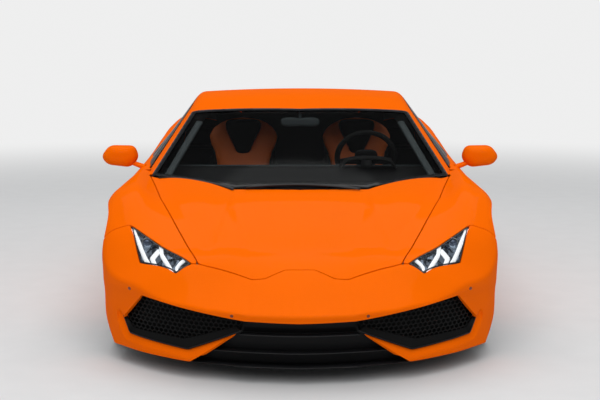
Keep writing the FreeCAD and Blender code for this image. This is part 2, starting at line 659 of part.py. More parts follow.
for side, name in ((1, "left"), (-1, "right")):
    rail_x = f"{side} * {RAIL_X} - {RAIL_WIDTH / 2}"
    tub.append(bar(f"tub_sill_{name}", (f"{side} * ({TUB_HALF} - {SILL_BOX / 2}) - {SILL_BOX / 2}", f"{SILL_BOX}"),
                   (along(TUB_START), f"{TUB_REAR} - ({TUB_START})"), (FLOOR, "85")))
    tub.append(bar(f"front_rail_{name}", (rail_x, f"{RAIL_WIDTH}"), (along("300"), f"{TUB_START} - 300"), (FLOOR, "40")))
    tub.append(bar(f"luggage_side_{name}",
                   (f"{side} * ({LUGGAGE_HALF} - {LUGGAGE_WALL / 2}) - {LUGGAGE_WALL / 2}", f"{LUGGAGE_WALL}"),
                   (along(LUGGAGE_FRONT), TO_DASH), (FLOOR_TOP, "320")))
    tub.append(bar(f"rear_rail_{name}", (rail_x, f"{RAIL_WIDTH}"), (along(BULKHEAD), f"{RAIL_REAR} - ({BULKHEAD})"),
                   (f"{RAIL_LOW}", f"{RAIL_WIDTH}")))
    tub.append(bar(f"arm_plate_{name}", (f"{side} * {ARM_PLATE_X} - {ARM_PLATE_WALL / 2}", f"{ARM_PLATE_WALL}"),
                   (along("sizes.front_overhang + sizes.wheelbase - 190"), "380"), ("220", "240")))
    for end, station in (("front", "sizes.front_overhang + 470"), ("rear", "sizes.front_overhang + sizes.wheelbase - 500")):
        pad = doc.addObject("Part::Cylinder", f"jack_pad_{end}_{name}")
        pad.setExpression("Radius", "sizes.jack_pad_radius")
        pad.setExpression("Height", "sizes.jack_pad_drop + 10")
        pad.setExpression("Placement.Base.x", f"{side} * ({TUB_HALF} - 50)")
        pad.setExpression("Placement.Base.y", along(station))
        pad.setExpression("Placement.Base.z", f"{FLOOR} - sizes.jack_pad_drop")
        tub.append(pad)
doc.recompute()


def rest(x, station, low, room):
    """A post under a lid, as tall as the lid's inner face allows."""
    top = rod(12, (x, station, low), (x, station, low + 900)).common(room)
    top.translate(V(0, 0, -SEAT))
    foot = rod(12, (x, station, low), (x, station, top.BoundBox.Center.z))
    return fused([foot, top])


for name, x in (("left", 1), ("right", -1)):
    for lid, post in (("bonnet", rest(x * (LUGGAGE_HALF - LUGGAGE_WALL / 2), 560, LOW + 300, lower_room)),
                      ("cover", rest(x * (RAIL_X + 15), 4035, RAIL_TOP - 15, deck_room))):
        feature = doc.addObject("Part::Feature", f"{lid}_rest_{name}")
        feature.Shape = post
        tub.append(feature)
joined("floor_tub", tub)

# Engine and gearbox, as plain blocks on the rear rails
ENGINE = "sizes.front_overhang + sizes.wheelbase - 590"
ENGINE_HALF = 330
GEARBOX_HALF = 200
joined("engine_block", [
    bar("engine", (f"-{ENGINE_HALF}", f"2 * {ENGINE_HALF}"), (along(ENGINE), "690"),
        (f"{RAIL_TOP} + sizes.seat_gap", "510")),
    bar("gearbox", (f"-{GEARBOX_HALF}", f"2 * {GEARBOX_HALF}"), (along(f"{ENGINE} + 680"), "400"),
        (f"{RAIL_TOP} + sizes.seat_gap", "330")),
])

# Exhaust: silencer across the rails and four tips
EXHAUST_HEIGHT = 275
SILENCER_REAR = RAIL_REAR - 2
TIP_REAR = LENGTH - 70
TIP_BORE = size("exhaust_radius") - size("exhaust_wall")
tips = [block(-470, 470, SILENCER_REAR - 122, SILENCER_REAR, RAIL_TOP + SEAT, 328)]
bores = []
for x in (-430, -335, 335, 430):
    tips.append(rod(size("exhaust_radius"), (x, SILENCER_REAR - 8, EXHAUST_HEIGHT), (x, TIP_REAR, EXHAUST_HEIGHT)))
    bores.append(rod(TIP_BORE, (x, SILENCER_REAR + 40, EXHAUST_HEIGHT), (x, LENGTH, EXHAUST_HEIGHT)))
piece("exhausts", fused(tips).cut(Part.makeCompound(bores)))

# Wheel arch liners
LINER_DROP = 6
liner_room = lower_room.copy()
liner_room.translate(V(0, 0, -LINER_DROP))
liners = []
for end in AXLES:
    axle = AXLES[end][0]
    liner = arch_solid(end, 0).cut(arch_solid(end, size("liner_wall")))
    liner = liner.common(block(0, HALF - 14, axle - 500, axle + 500, 215, 1000))
    liners.append(liner.common(liner_room))
piece("arch_liners", both(Part.makeCompound(liners)))


def corner(end, side):
    """The wheel centre at one end and side of the car, and its tyre width and radius."""
    axle, tyre_radius, radius = AXLES[end]
    return V(side * size(f"{end}_track") / 2, NOSE + axle, tyre_radius), size(f"{end}_tyre_width"), tyre_radius


def facing(centre, side):
    """A placement at the wheel centre whose X points outwards."""
    return FreeCAD.Placement(centre, FreeCAD.Rotation(V(0, 0, 1), 0 if side > 0 else 180))


def tube(outer_radius, inner_radius, start, end):
    """A ring about the X axis."""
    ring_shape = Part.makeCylinder(outer_radius, end - start, V(start, 0, 0), V(1, 0, 0))
    if inner_radius > 0:
        ring_shape = ring_shape.cut(Part.makeCylinder(inner_radius, end - start, V(start, 0, 0), V(1, 0, 0)))
    return ring_shape


RIM = size("rim_radius")
SPOKE_PAIRS = 5
SPOKE_SPLAY = 11
DISC_INNER = -45


def rim_shape(width):
    """An alloy rim of five twin spokes, and its brake disc with the bell that meets the hub."""
    face = 0.44 * width
    back = face - size("spoke_depth")
    parts = [tube(RIM + 2 - SEAT, RIM - size("rim_wall"), -0.46 * width, 0.46 * width),
             tube(size("hub_radius"), size("axle_radius") + SEAT, 40, face)]
    for k in range(SPOKE_PAIRS):
        for splay in (-SPOKE_SPLAY, SPOKE_SPLAY):
            spoke = Part.makeBox(size("spoke_depth"), size("spoke_width"), RIM - 60,
                                 V(back, -size("spoke_width") / 2, 52))
            spoke.rotate(V(0, 0, 0), V(1, 0, 0), 360 / SPOKE_PAIRS * k + splay)
            parts.append(spoke)
    wall = size("disc_wall")
    disc = fused([tube(size("disc_radius"), 62, DISC_INNER, DISC_INNER + wall),
                  tube(90, 62, DISC_INNER, 40 - SEAT)])
    return Part.makeCompound([fused(parts), disc])


def knuckle_shape(width):
    """A wheel carrier with its stub axle and brake caliper, about the wheel centre with X outwards."""
    carrier = Part.makeBox(47, 120, 200, V(-108, -60, -100))
    carrier = carrier.common(Part.makeCylinder(105, 400, V(0, 0, -200)))
    arm = Part.makeBox(34, 110, 64, V(-96, 45, -32))
    caliper = tube(212, 128, -72, 14).common(Part.makeBox(200, 300, 190, V(-100, 60, -95)))
    caliper = caliper.cut(tube(size("disc_radius") + 6, 0, DISC_INNER - 5, DISC_INNER + size("disc_wall") + 5))
    axle = tube(size("axle_radius"), 0, -70, 0.3 * width)
    return fused([carrier, arm, caliper, axle])


rims = {end: rim_shape(size(f"{end}_tyre_width")) for end in AXLES}
knuckles = {end: knuckle_shape(size(f"{end}_tyre_width")) for end in AXLES}
ARM_SPREAD = 150
ARM_HEIGHT = 74
ARM_WALL = 22
arms = []
rear_knuckles = []
for end in AXLES:
    for side, name in ((1, "left"), (-1, "right")):
        centre, width, radius = corner(end, side)
        alias = f"{end}_tyre_width"
        tread = f"{end}_tyre_radius"
        profile = [
            ((alias, -0.42, 0), ("rim_radius", 1, 2)),
            ((alias, -0.5, 0), ("rim_radius", 1, 22)),
            ((alias, -0.5, 0), (tread, 1, -38)),
            ((alias, -0.5, 18), (tread, 1, -12)),
            ((alias, -0.5, 46), (tread, 1, 0)),
            ((alias, 0.5, -46), (tread, 1, 0)),
            ((alias, 0.5, -18), (tread, 1, -12)),
            ((alias, 0.5, 0), (tread, 1, -38)),
            ((alias, 0.5, 0), ("rim_radius", 1, 22)),
            ((alias, 0.42, 0), ("rim_radius", 1, 2)),
        ]
        turned(f"tyre_{end}_{name}", profile, facing(centre, side))
        piece(f"wheel_{end}_{name}", rims[end].copy(), facing(centre, side))
        if end == "front":
            carrier = knuckles[end].copy()
            if side < 0:
                carrier = carrier.mirror(V(0, 0, 0), V(0, 1, 0))
            piece(f"knuckle_front_{name}", carrier, facing(centre, side))
        else:
            carrier = knuckles[end].copy()
            if side < 0:
                carrier = carrier.mirror(V(0, 0, 0), V(0, 1, 0))
            carrier.Placement = facing(centre, side)
            shaft = rod(20, (side * (360 + SEAT), REAR_AXLE, radius), (side * (size("rear_track") / 2 - 60), REAR_AXLE, radius))
            rear_knuckles.append(fused([carrier, shaft]))
        inboard = 420 if end == "front" else 360
        axle = AXLES[end][0]
        outer_x = abs(centre.x) - 90
        fork = [(outer_x, axle - 26), (outer_x, axle + 26), (inboard + 40, axle + ARM_SPREAD + 20),
                (inboard, axle + ARM_SPREAD + 20), (inboard, axle + ARM_SPREAD - 24), (outer_x - 70, axle),
                (inboard, axle - ARM_SPREAD + 24), (inboard, axle - ARM_SPREAD - 20), (inboard + 40, axle - ARM_SPREAD - 20)]
        clear = Part.makeCylinder(105 + SEAT, 900, V(abs(centre.x), centre.y, -100))
        for z in (radius - ARM_HEIGHT - ARM_WALL / 2, radius + ARM_HEIGHT - ARM_WALL / 2):
            arm = plan_prism(fork, 0, z, z + ARM_WALL).cut(clear)
            arms.append(arm if side > 0 else mirrored(arm))
piece("suspension_arms", Part.makeCompound(arms))
piece("rear_knuckles", Part.makeCompound(rear_knuckles))

# Doors with their glass and mirrors
MIRROR = [(883, 824), (907, 889), (1046, 891), (1090, 832), (1056, 786), (924, 771)]
MIRROR_SECTIONS = [(1590, 0.72), (1625, 0.95), (1690, 1.0), (1700, 0.96)]
middle_x = sum(x for x, z in MIRROR) / len(MIRROR)
middle_z = sum(z for x, z in MIRROR) / len(MIRROR)
sections = []
for station, share in MIRROR_SECTIONS:
    ring_points = [V(middle_x + (x - middle_x) * share, NOSE + station, middle_z + (z - middle_z) * share) for x, z in MIRROR]
    sections.append(Part.makePolygon(ring_points + ring_points[:1]))
mirror_head = Part.makeLoft(sections, True, True)
stalk = front_prism([(848, 770), (900, 770), (950, 800), (925, 812), (860, 792)], 1632, 1672).cut(outer)
mirror_piece = fused([mirror_head, clean(stalk, 100)])
for name, side in (("left", lambda shape: shape), ("right", mirrored)):
    piece(f"door_{name}", side(clean(door)))
    piece(f"door_glass_{name}", side(clean(door_glass)))
    piece(f"door_mirror_{name}", side(mirror_piece))

# Cabin: dashboard with the steering column, seats and mirror
WHEEL_PLACE = (375, 1900, 800)
COLUMN_TILT = 25
tilt = math.radians(COLUMN_TILT)
DASH_FRONT = FRONT_AXLE + 380 + size("bulkhead_wall") + SEAT
DASH = [(DASH_FRONT, 560), (DASH_FRONT, 700), (1475, 706), (1700, 768), (1820, 765), (1850, 715), (1770, 600), (1560, 520)]
column_end = (WHEEL_PLACE[0], WHEEL_PLACE[1] - 40.3 * math.cos(tilt), WHEEL_PLACE[2] - 40.3 * math.sin(tilt))
column_start = (WHEEL_PLACE[0], WHEEL_PLACE[1] - 180 * math.cos(tilt), WHEEL_PLACE[2] - 180 * math.sin(tilt))
piece("dashboard", fused([side_prism(DASH, -760, 760), rod(26, column_start, column_end)]))

grip = size("steering_wheel_grip")
reach = size("steering_wheel_radius") - grip
wheel_parts = [Part.makeTorus(reach, grip), Part.makeCylinder(55, 40, V(0, 0, -40))]
for angle in (0, 180, 270):
    arm = Part.makeBox(reach, 34, 12, V(0, -17, -14))
    arm.rotate(V(0, 0, 0), V(0, 0, 1), angle)
    wheel_parts.append(arm)
wheel_base = V(WHEEL_PLACE[0], NOSE + WHEEL_PLACE[1], WHEEL_PLACE[2])
piece("steering_wheel", fused(wheel_parts), FreeCAD.Placement(wheel_base, FreeCAD.Rotation(V(1, 0, 0), COLUMN_TILT - 90)))

SEAT_SIDE = [(2040, LOW + 90), (2050, 330), (2090, 352), (2450, 300), (2540, 560), (2655, 965), (2700, 985), (2755, 970),
             (2790, 880), (2700, 560), (2640, 260), (2560, LOW + 90)]
half_seat = size("seat_width") / 2
SEAT_FRONT = [(half_seat, 0), (half_seat, 700), (half_seat - 20, 850), (150, 930), (105, 985)]
seat_outline = [(x, z) for x, z in SEAT_FRONT] + [(-x, z) for x, z in reversed(SEAT_FRONT)]
seat = side_prism(SEAT_SIDE, -half_seat, half_seat).common(front_prism(seat_outline, 1900, 3000))
rails = block(-half_seat + 60, half_seat - 60, 2080, 2540, LOW + size("floor_wall") + SEAT, LOW + 95)
seat = fused([seat, rails])
seat.translate(V(size("seat_spread") / 2, 0, 0))
piece("seats", both(seat))

cabin_mirror = fused([block(-112, 112, 1985, 2008, 968, 1022), rod(9, (0, 1996, 1010), (0, 1900, 1100))])
piece("cabin_mirror", cabin_mirror.common(cabin_room))

doc.recompute()
for item in doc.Objects:
    if any(state in ("Invalid", "Error") for state in item.State):
        raise RuntimeError(f"{item.Label} failed: {item.State}")
for label, part in PARTS.items():
    if part.Shape.isNull() or not part.Shape.isValid():
        raise RuntimeError(f"{label} has no valid shape")

os.makedirs("parts", exist_ok=True)
for label, part in PARTS.items():
    part.Shape.exportStep(f"parts/{label}.step")
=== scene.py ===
"""A low mid-engined supercar: smooth body panels, lamps, glass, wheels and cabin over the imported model.

Places are in metres. Inside this file a point is its distance to the car's left, its station behind the nose
and its height; a mesh gets its station turned into Y when it is made.
"""

import bpy
import json
import logging
import math
from collections.abc import Callable, Sequence
from dataclasses import dataclass, field
from enum import Enum
from typing import ClassVar

import numpy as np
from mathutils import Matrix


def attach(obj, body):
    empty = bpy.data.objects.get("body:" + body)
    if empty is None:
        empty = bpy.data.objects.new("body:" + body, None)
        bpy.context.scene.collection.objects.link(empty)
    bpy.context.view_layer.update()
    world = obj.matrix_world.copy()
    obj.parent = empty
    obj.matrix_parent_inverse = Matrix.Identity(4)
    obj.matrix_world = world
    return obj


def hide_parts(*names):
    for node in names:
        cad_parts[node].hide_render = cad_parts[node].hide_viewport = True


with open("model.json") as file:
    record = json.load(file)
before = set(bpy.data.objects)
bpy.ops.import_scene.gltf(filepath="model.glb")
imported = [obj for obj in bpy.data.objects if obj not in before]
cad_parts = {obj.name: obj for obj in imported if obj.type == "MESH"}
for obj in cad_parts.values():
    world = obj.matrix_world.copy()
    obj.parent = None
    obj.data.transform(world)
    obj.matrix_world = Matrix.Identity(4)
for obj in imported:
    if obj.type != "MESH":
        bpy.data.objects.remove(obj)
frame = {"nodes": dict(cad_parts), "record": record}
bpy.context.view_layer.update()

log = logging.getLogger("supercar")
Field = Callable[[np.ndarray], np.ndarray]

LENGTH = 4.459
NOSE = -LENGTH / 2
HALF = 0.962
LOW = 0.110
SILL = 0.205
GAP = 0.005
LIP = 0.030
PANEL_RIM = 0.0014
WAIST_CUT = 0.776
PANE_FOOT = 0.774
BUMPER_FOOT = 0.083
RAY_LENGTH = 1.6
HALVINGS = 22
# How far two panels that meet stand back from their common line
BUTT = 0.0003
DOOR_FRONT = 1.500
DOOR_REAR = 2.750
DOOR_LENGTH = DOOR_REAR - DOOR_FRONT
HINGE_X = HALF - 0.012

# Cross-sections of the lower body: station and centre height, then inset from the half width and height of
# the bonnet line, fender crown, shoulder, waist and rocker, inset of the bottom edge and drop of the lip
LOWER = np.array([
    (-0.080, .290, .512, .262, .402, .240, .202, .190, .062, .150, .082, .130, .102, LIP),
    (0.060, .358, .512, .300, .402, .275, .202, .205, .042, .160, .072, .130, .102, LIP),
    (0.200, .448, .512, .402, .402, .352, .202, .250, .032, .190, .062, .140, .102, LIP),
    (0.310, .487, .512, .496, .440, .490, .240, .388, .027, .250, .062, .150, .102, LIP),
    (0.450, .532, .466, .540, .332, .545, .202, .462, .032, .340, .052, .200, .102, LIP),
    (0.600, .592, .399, .592, .197, .612, .072, .556, .018, .450, .034, .250, .102, LIP),
    (0.780, .655, .323, .650, .162, .708, .022, .655, .010, .500, .032, .260, .102, 0),
    (0.930, .708, .279, .690, .162, .762, .026, .718, .005, .580, .026, .280, .102, 0),
    (1.130, .745, .229, .725, .142, .778, .040, .730, .005, .580, .030, .265, .100, 0),
    (1.300, .760, .191, .745, .125, .782, .042, .725, .008, .570, .035, .255, .097, 0),
    (1.500, .765, .197, .750, .117, .785, .050, .728, .015, .565, .044, .245, .097, 0),
    (2.125, .770, .200, .770, .112, .820, .070, .772, .032, .580, .042, .245, .094, 0),
    (2.750, .790, .240, .815, .100, .862, .060, .800, .017, .600, .032, .260, .090, 0),
    (3.150, .800, .300, .860, .152, .935, .050, .832, .005, .620, .022, .280, .090, 0),
    (3.550, .800, .320, .880, .172, .942, .047, .845, .000, .620, .012, .300, .090, 0),
    (3.950, .790, .360, .860, .187, .920, .062, .830, .007, .620, .032, .300, .102, 0),
    (4.309, .780, .400, .840, .217, .885, .100, .800, .057, .620, .102, .300, .132, 0),
    (4.519, .770, .420, .830, .242, .862, .122, .780, .082, .620, .132, .300, .162, 0),
])
# How far from each corner of a section its rounding starts
SECTION_CUTS = (0.400, 0.090, 0.040, 0.060, 0.120, 0.050, 0.020)

NOSE_PLAN = np.array([(0, 0), (.300, .058), (.500, .140), (.700, .292), (.800, .405), (.880, .500),
                      (.925, .600), (.968, .980), (1.010, 1.180), (1.010, 1.600)])
TAIL_PLAN = np.array([(0, 0), (.480, .020), (.800, .098), (.925, .262), (1.010, .659), (1.010, 1.400)])
# Undercut of nose and tail by height
END_TRIM = np.array([(.040, .080, .330), (.088, .050, .270), (.290, .015, .012), (.325, 0, .006),
                     (.500, 0, 0), (.620, 0, .018), (.870, 0, .090), (1.300, 0, .150)])

# Plan outlines of the cabin and rear deck by height
CABIN = np.array([
    (.700, .936, .340, .966, .820, 1.276, .905, 1.650, .915, 2.600, .850, 3.200, .745),
    (1.060, 1.963, .330, 1.990, .630, 2.060, .665, 2.300, .672, 2.600, .600, 3.200, .470),
    (1.200, 2.362, .310, 2.390, .555, 2.366, .566, 2.450, .570, 2.600, .500, 3.200, .380),
])
CABIN_CUTS = (0.300, 0.160, 0.060, 0.120, 0.250, 0.300, 0.200)
# Roof line: station, height at the centre and at the roof's edge
ROOF = np.array([
    (0.900, 1.105, 1.085), (1.950, 1.080, 1.058), (2.080, 1.104, 1.082), (2.220, 1.140, 1.120),
    (2.350, 1.159, 1.140), (2.480, 1.165, 1.146), (2.700, 1.155, 1.136), (2.950, 1.128, 1.108),
    (3.300, 1.070, 1.050), (3.800, .972, .955), (4.560, .826, .812),
])
ROOF_EDGE = 0.760

BONNET_LEAN = -0.27
BONNET = [(0, .268, .470), (.066, .268, .470), (.150, .216, .450), (.205, .214, .450), (.450, .306, .492),
          (.563, .600, .592), (.683, .930, .690), (.786, 1.378, .752), (.340, 1.052, .752), (0, 1.030, .757)]
LAMP = [(.478, .306), (.545, .285), (.724, .436), (.790, .622)]
INTAKE = [(.236, .292), (.700, .352), (.800, .228), (.770, .160), (.488, .142), (.262, .240)]
CENTRE = [(0, .287), (.262, .292), (.262, .2395), (.496, .071), (.496, 0), (0, 0)]
BUMPER = [(0, -.100), (1.050, -.100), (1.050, .655), (.790, .622), (.478, .306), (.445, .300), (0, .300)]
WING = [(.440, .307), (.478, .309), (.790, .625), (1.050, .658), (1.050, DOOR_FRONT), (.792, DOOR_FRONT),
        (.792, 1.376), (.600, .850)]
WINDSCREEN = [(0, .960), (.338, .985), (.700, 1.180), (.788, 1.395), (.624, 2.052), (0, 2.003)]
WINDOW = [(1.545, .770), (2.172, 1.062), (2.330, 1.108), (2.520, 1.120), (2.760, 1.108), (2.760, .700),
          (1.545, .700)]
ROOF_REAR = 2.905
ROOF_SPLIT = 1.080
COVER_LEAN = 0.19
COVER = [(0, 2.925, 1.130), (.400, 2.925, 1.115), (.455, 3.400, 1.030), (.420, 4.180, .885), (0, 4.230, .880)]
DECK_FRONT = 2.735
QUARTER_REAR = LENGTH - 0.262
QUARTER_INNER = 0.560
DOOR_INNER = HALF - 0.162
SIDE_INTAKE = [(2.850, .430), (2.985, .480), (2.985, .740), (2.900, .760), (2.800, .560)]
DIFFUSER_OPENING = [(0, 0), (.520, 0), (.500, .330), (0, .345)]
REAR_OPENING = [(0, .628), (.742, .628), (.838, .716), (.806, .772), (0, .772)]
PLATE = [(0, .462), (.270, .462), (.270, .582), (0, .582)]


class End(Enum):
    """The car's two ends.

    Attributes:
        label: its name in the names of pieces.
        axle: station of the axle.
        tyre: radius of the tyre.
        arch: radius of the wheel arch.
        half: half the tyre's width.
        out: distance from the centre line to the tyre's middle.
    """

    FRONT = ("front", 0.930, 0.3275, 0.362, 0.1225, 0.795)
    REAR = ("rear", 3.550, 0.3455, 0.374, 0.1525, 0.800)

    def __init__(self, label: str, axle: float, tyre: float, arch: float, half: float, out: float) -> None:
        """Keeps each number under its name."""
        self.label, self.axle, self.tyre, self.arch, self.half, self.out = label, axle, tyre, arch, half, out


class Side(Enum):
    """The car's two sides. Pieces are worked out for the left."""

    LEFT = "left"
    RIGHT = "right"

    def of(self, part: "Shape") -> "Shape":
        """A part made for the left, mirrored for the right."""
        return part if self is Side.LEFT else part.mirrored()


def through(knots: np.ndarray, values: np.ndarray, at: np.ndarray) -> np.ndarray:
    """Rows of a table at new places: a cubic whose slope at each row is that of the chord past the row.

    Args:
        knots: place of each row.
        values: the rows.
        at: places wanted.

    Returns:
        One row for each place.
    """
    last = len(knots) - 1
    i = np.clip(np.searchsorted(knots, at) - 1, 0, last - 1)
    before, after = np.maximum(i - 1, 0), np.minimum(i + 2, last)
    step = (knots[i + 1] - knots[i])[:, None]
    t = np.clip((at - knots[i])[:, None] / step, 0, 1)
    slope_a = (values[i + 1] - values[before]) / (knots[i + 1] - knots[before])[:, None]
    slope_b = (values[after] - values[i]) / (knots[after] - knots[i])[:, None]
    ends = (1 + 2 * t) * (1 - t) ** 2 * values[i] + t * t * (3 - 2 * t) * values[i + 1]
    return ends + step * (t * (1 - t) ** 2 * slope_a - t * t * (1 - t) * slope_b)


def rounded(corners: np.ndarray, cuts: Sequence[float], steps: int = 11) -> np.ndarray:
    """Outlines that start on the centre line, each corner replaced by a parabola between two points that lie
    its cut away along the sides. The first corner is rounded against its own mirror image.

    Args:
        corners: outlines, corners, then the two coordinates, the first being the distance out.
        cuts: for each corner but the last, how far off its rounding starts.
        steps: points on each parabola.

    Returns:
        The dense outlines, the last corner kept.
    """
    before = np.concatenate([corners[:, 1:2] * (-1, 1), corners[:, :-2]], 1)
    here, after = corners[:, :-1], corners[:, 1:]
    span_a = np.linalg.norm(before - here, axis=2, keepdims=True)
    span_b = np.linalg.norm(after - here, axis=2, keepdims=True)
    cut = np.minimum(np.array(cuts)[None, :, None], 0.48 * np.minimum(span_a, span_b))
    start = here + (before - here) / span_a * cut
    end = here + (after - here) / span_b * cut
    t = np.linspace(0, 1, steps)[None, None, :, None]
    curve = (1 - t) ** 2 * start[:, :, None] + 2 * t * (1 - t) * here[:, :, None] + t * t * end[:, :, None]
    flat = curve.reshape(len(corners), -1, 2)[:, steps // 2:]
    return np.concatenate([flat, corners[:, -1:]], 1)


@dataclass(frozen=True)
class Reach:
    """How far a surface lies from an axis, as a table over the place along it and the angle round it."""

    along: np.ndarray
    angles: np.ndarray
    table: np.ndarray

    @classmethod
    def of(cls, along: np.ndarray, outlines: np.ndarray, centre: float, angles: np.ndarray) -> "Reach":
        """Tabulates outlines round the axis. Between two points of an outline the reach goes linearly.

        Args:
            along: place of each outline.
            outlines: outlines, points, then distance from the centre line and the other coordinate.
            centre: the other coordinate of the axis.
            angles: angles of the table's columns, from the other coordinate's direction.

        Returns:
            The table.
        """
        angle = np.arctan2(outlines[..., 0], outlines[..., 1] - centre)
        reach = np.hypot(outlines[..., 0], outlines[..., 1] - centre)
        shift = 10.0 * np.arange(len(outlines))[:, None]
        table = np.interp((angles[None, :] + shift).ravel(), (angle + shift).ravel(), reach.ravel())
        return cls(along, angles, table.reshape(len(outlines), len(angles)))

    def at(self, along: np.ndarray, angle: np.ndarray) -> np.ndarray:
        """The reach at places and angles, linear both ways between the table's entries."""
        a = (along - self.along[0]) / (self.along[1] - self.along[0])
        b = (angle - self.angles[0]) / (self.angles[1] - self.angles[0])
        i = np.clip(a.astype(int), 0, len(self.along) - 2)
        j = np.clip(b.astype(int), 0, len(self.angles) - 2)
        fa, fb = np.clip(a - i, 0, 1), np.clip(b - j, 0, 1)
        low = self.table[i, j] * (1 - fb) + self.table[i, j + 1] * fb
        high = self.table[i + 1, j] * (1 - fb) + self.table[i + 1, j + 1] * fb
        return low * (1 - fa) + high * fa


def soft_max(a: np.ndarray, b: np.ndarray, width: float) -> np.ndarray:
    """The larger of two fields, with a parabola of the given width where they are near each other."""
    blend = np.maximum(width - np.abs(a - b), 0) / width
    return np.maximum(a, b) + blend * blend * width / 4


class BodyForm:
    """The car's outer form as fields of a point that are negative inside and positive outside."""

    NOSE_AXIS = 1.0
    TAIL_AXIS = 3.4
    CABIN_AXIS = 2.6
    BEAK_RISE = 0.042
    EDGE_BLEND = 0.014
    ROOF_BLEND = 0.030

    def __init__(self) -> None:
        """Tabulates the lower body, the nose and tail in plan, and the cabin walls."""
        stations = np.arange(LOWER[0, 0], LOWER[-1, 0] + 0.001, 0.005)
        rows = through(LOWER[:, 0], LOWER[:, 1:], stations)
        zc, xk, zk, xf, zf, xs, zs, xw, zw, xr, zr, xb, lip = rows.T
        low = LOW - lip
        corners = np.stack([
            np.stack([0 * zc, HALF - xk, HALF - xf, HALF - xs, HALF - xw, HALF - xr, HALF - xb,
                      HALF - xb - 0.4 * (xb - xr) / (zr - low)], 1),
            np.stack([zc, zk, zf, zs, zw, zr, low, low - 0.4], 1)], 2)
        self.lower_reach = Reach.of(stations, rounded(corners, SECTION_CUTS), 0.0,
                                    np.radians(np.arange(0, 112, 0.15)))
        plan = rounded(NOSE_PLAN[None] * (1, -1) + (0, self.NOSE_AXIS),
                       (.2, .09, .09, .09, .07, .06, .06, .1, .1))
        around = np.radians(np.arange(0, 120, 0.15))
        two = np.array([0.0, 1.0])
        self.nose_reach = Reach.of(two, np.repeat(plan, 2, 0), 0.0, around)
        plan = rounded(TAIL_PLAN[None] * (1, -1) + (0, LENGTH - self.TAIL_AXIS), (.3, .16, .10, .10, .1))
        self.tail_reach = Reach.of(two, np.repeat(plan, 2, 0), 0.0, around)
        heights = np.arange(0.60, 1.24, 0.01)
        rows = np.stack([np.interp(heights, CABIN[:, 0], CABIN[:, k]) for k in range(1, 13)], 1)
        below = (CABIN[1, 1:] - CABIN[0, 1:]) / (CABIN[1, 0] - CABIN[0, 0])
        rows += np.minimum(heights - CABIN[0, 0], 0)[:, None] * below
        s0, xm, sm, xp, sp, xg, sg, xh, sh, xr, sr, xt = rows.T
        front = self.CABIN_AXIS - np.stack([s0, sm, sp, sg, sh, sr, 0 * s0 + LENGTH,
                                            0 * s0 + LENGTH + 0.14], 1)
        out = np.stack([0 * s0, xm, xp, xg, xh, xr, xt, 0 * s0 + 0.001], 1)
        outline = rounded(np.stack([out, front], 2), CABIN_CUTS)
        self.wall_reach = Reach.of(heights, outline, 0.0, np.radians(np.arange(0, 180.1, 0.15)))
        self.roof_stations = np.arange(ROOF[0, 0], ROOF[-1, 0], 0.01)
        self.roof_rows = through(ROOF[:, 0], ROOF[:, 1:], self.roof_stations)

    def lower(self, p: np.ndarray) -> np.ndarray:
        """The lower body without its ends: distance from the ground line less the section's reach."""
        x = np.abs(p[..., 0])
        return np.hypot(x, p[..., 2]) - self.lower_reach.at(p[..., 1], np.arctan2(x, p[..., 2]))

    def ends(self, p: np.ndarray) -> np.ndarray:
        """Nose and tail: the plan outline pushed in by the undercut at the point's height, which at the nose
        starts higher towards the sides."""
        x = np.abs(p[..., 0])
        height = np.clip(p[..., 2], END_TRIM[0, 0], END_TRIM[-1, 0])
        rise = self.BEAK_RISE * np.clip((x - 0.30) / 0.40, 0, 1) * np.clip((height - 0.25) / 0.05, 0, 1)
        nose_in = np.interp(height - rise, END_TRIM[:, 0], END_TRIM[:, 1])
        tail_in = np.interp(height, END_TRIM[:, 0], END_TRIM[:, 2])
        ahead = self.NOSE_AXIS - (p[..., 1] - nose_in) / (1 - nose_in / 1.5)
        nose = np.hypot(x, ahead) - self.nose_reach.at(0 * x, np.arctan2(x, ahead))
        behind = p[..., 1] + tail_in - self.TAIL_AXIS
        tail = np.hypot(x, behind) - self.tail_reach.at(0 * x, np.arctan2(x, behind))
        return np.where(p[..., 1] < self.NOSE_AXIS + 0.4, nose,
                        np.where(p[..., 1] > self.TAIL_AXIS - 0.4, tail, -1.0))

    def body(self, p: np.ndarray) -> np.ndarray:
        """The lower body with its nose and tail."""
        return soft_max(self.lower(p), self.ends(p), self.EDGE_BLEND)

    def roof(self, p: np.ndarray) -> np.ndarray:
        """Height above the crowned roof: the centre height less a parabola across the car."""
        centre = np.interp(p[..., 1], self.roof_stations, self.roof_rows[:, 0])
        edge = np.interp(p[..., 1], self.roof_stations, self.roof_rows[:, 1])
        return p[..., 2] - centre + 1.6 * (centre - edge) * (p[..., 0] / ROOF_EDGE) ** 2

    def cabin(self, p: np.ndarray) -> np.ndarray:
        """The cabin and rear deck: walls by plan outlines that lean with height, under the roof."""
        x = np.abs(p[..., 0])
        ahead = self.CABIN_AXIS - p[..., 1]
        walls = np.hypot(x, ahead) - self.wall_reach.at(p[..., 2], np.arctan2(x, ahead))
        return soft_max(soft_max(walls, self.roof(p), self.ROOF_BLEND), self.ends(p), self.EDGE_BLEND)


FORM = BodyForm()


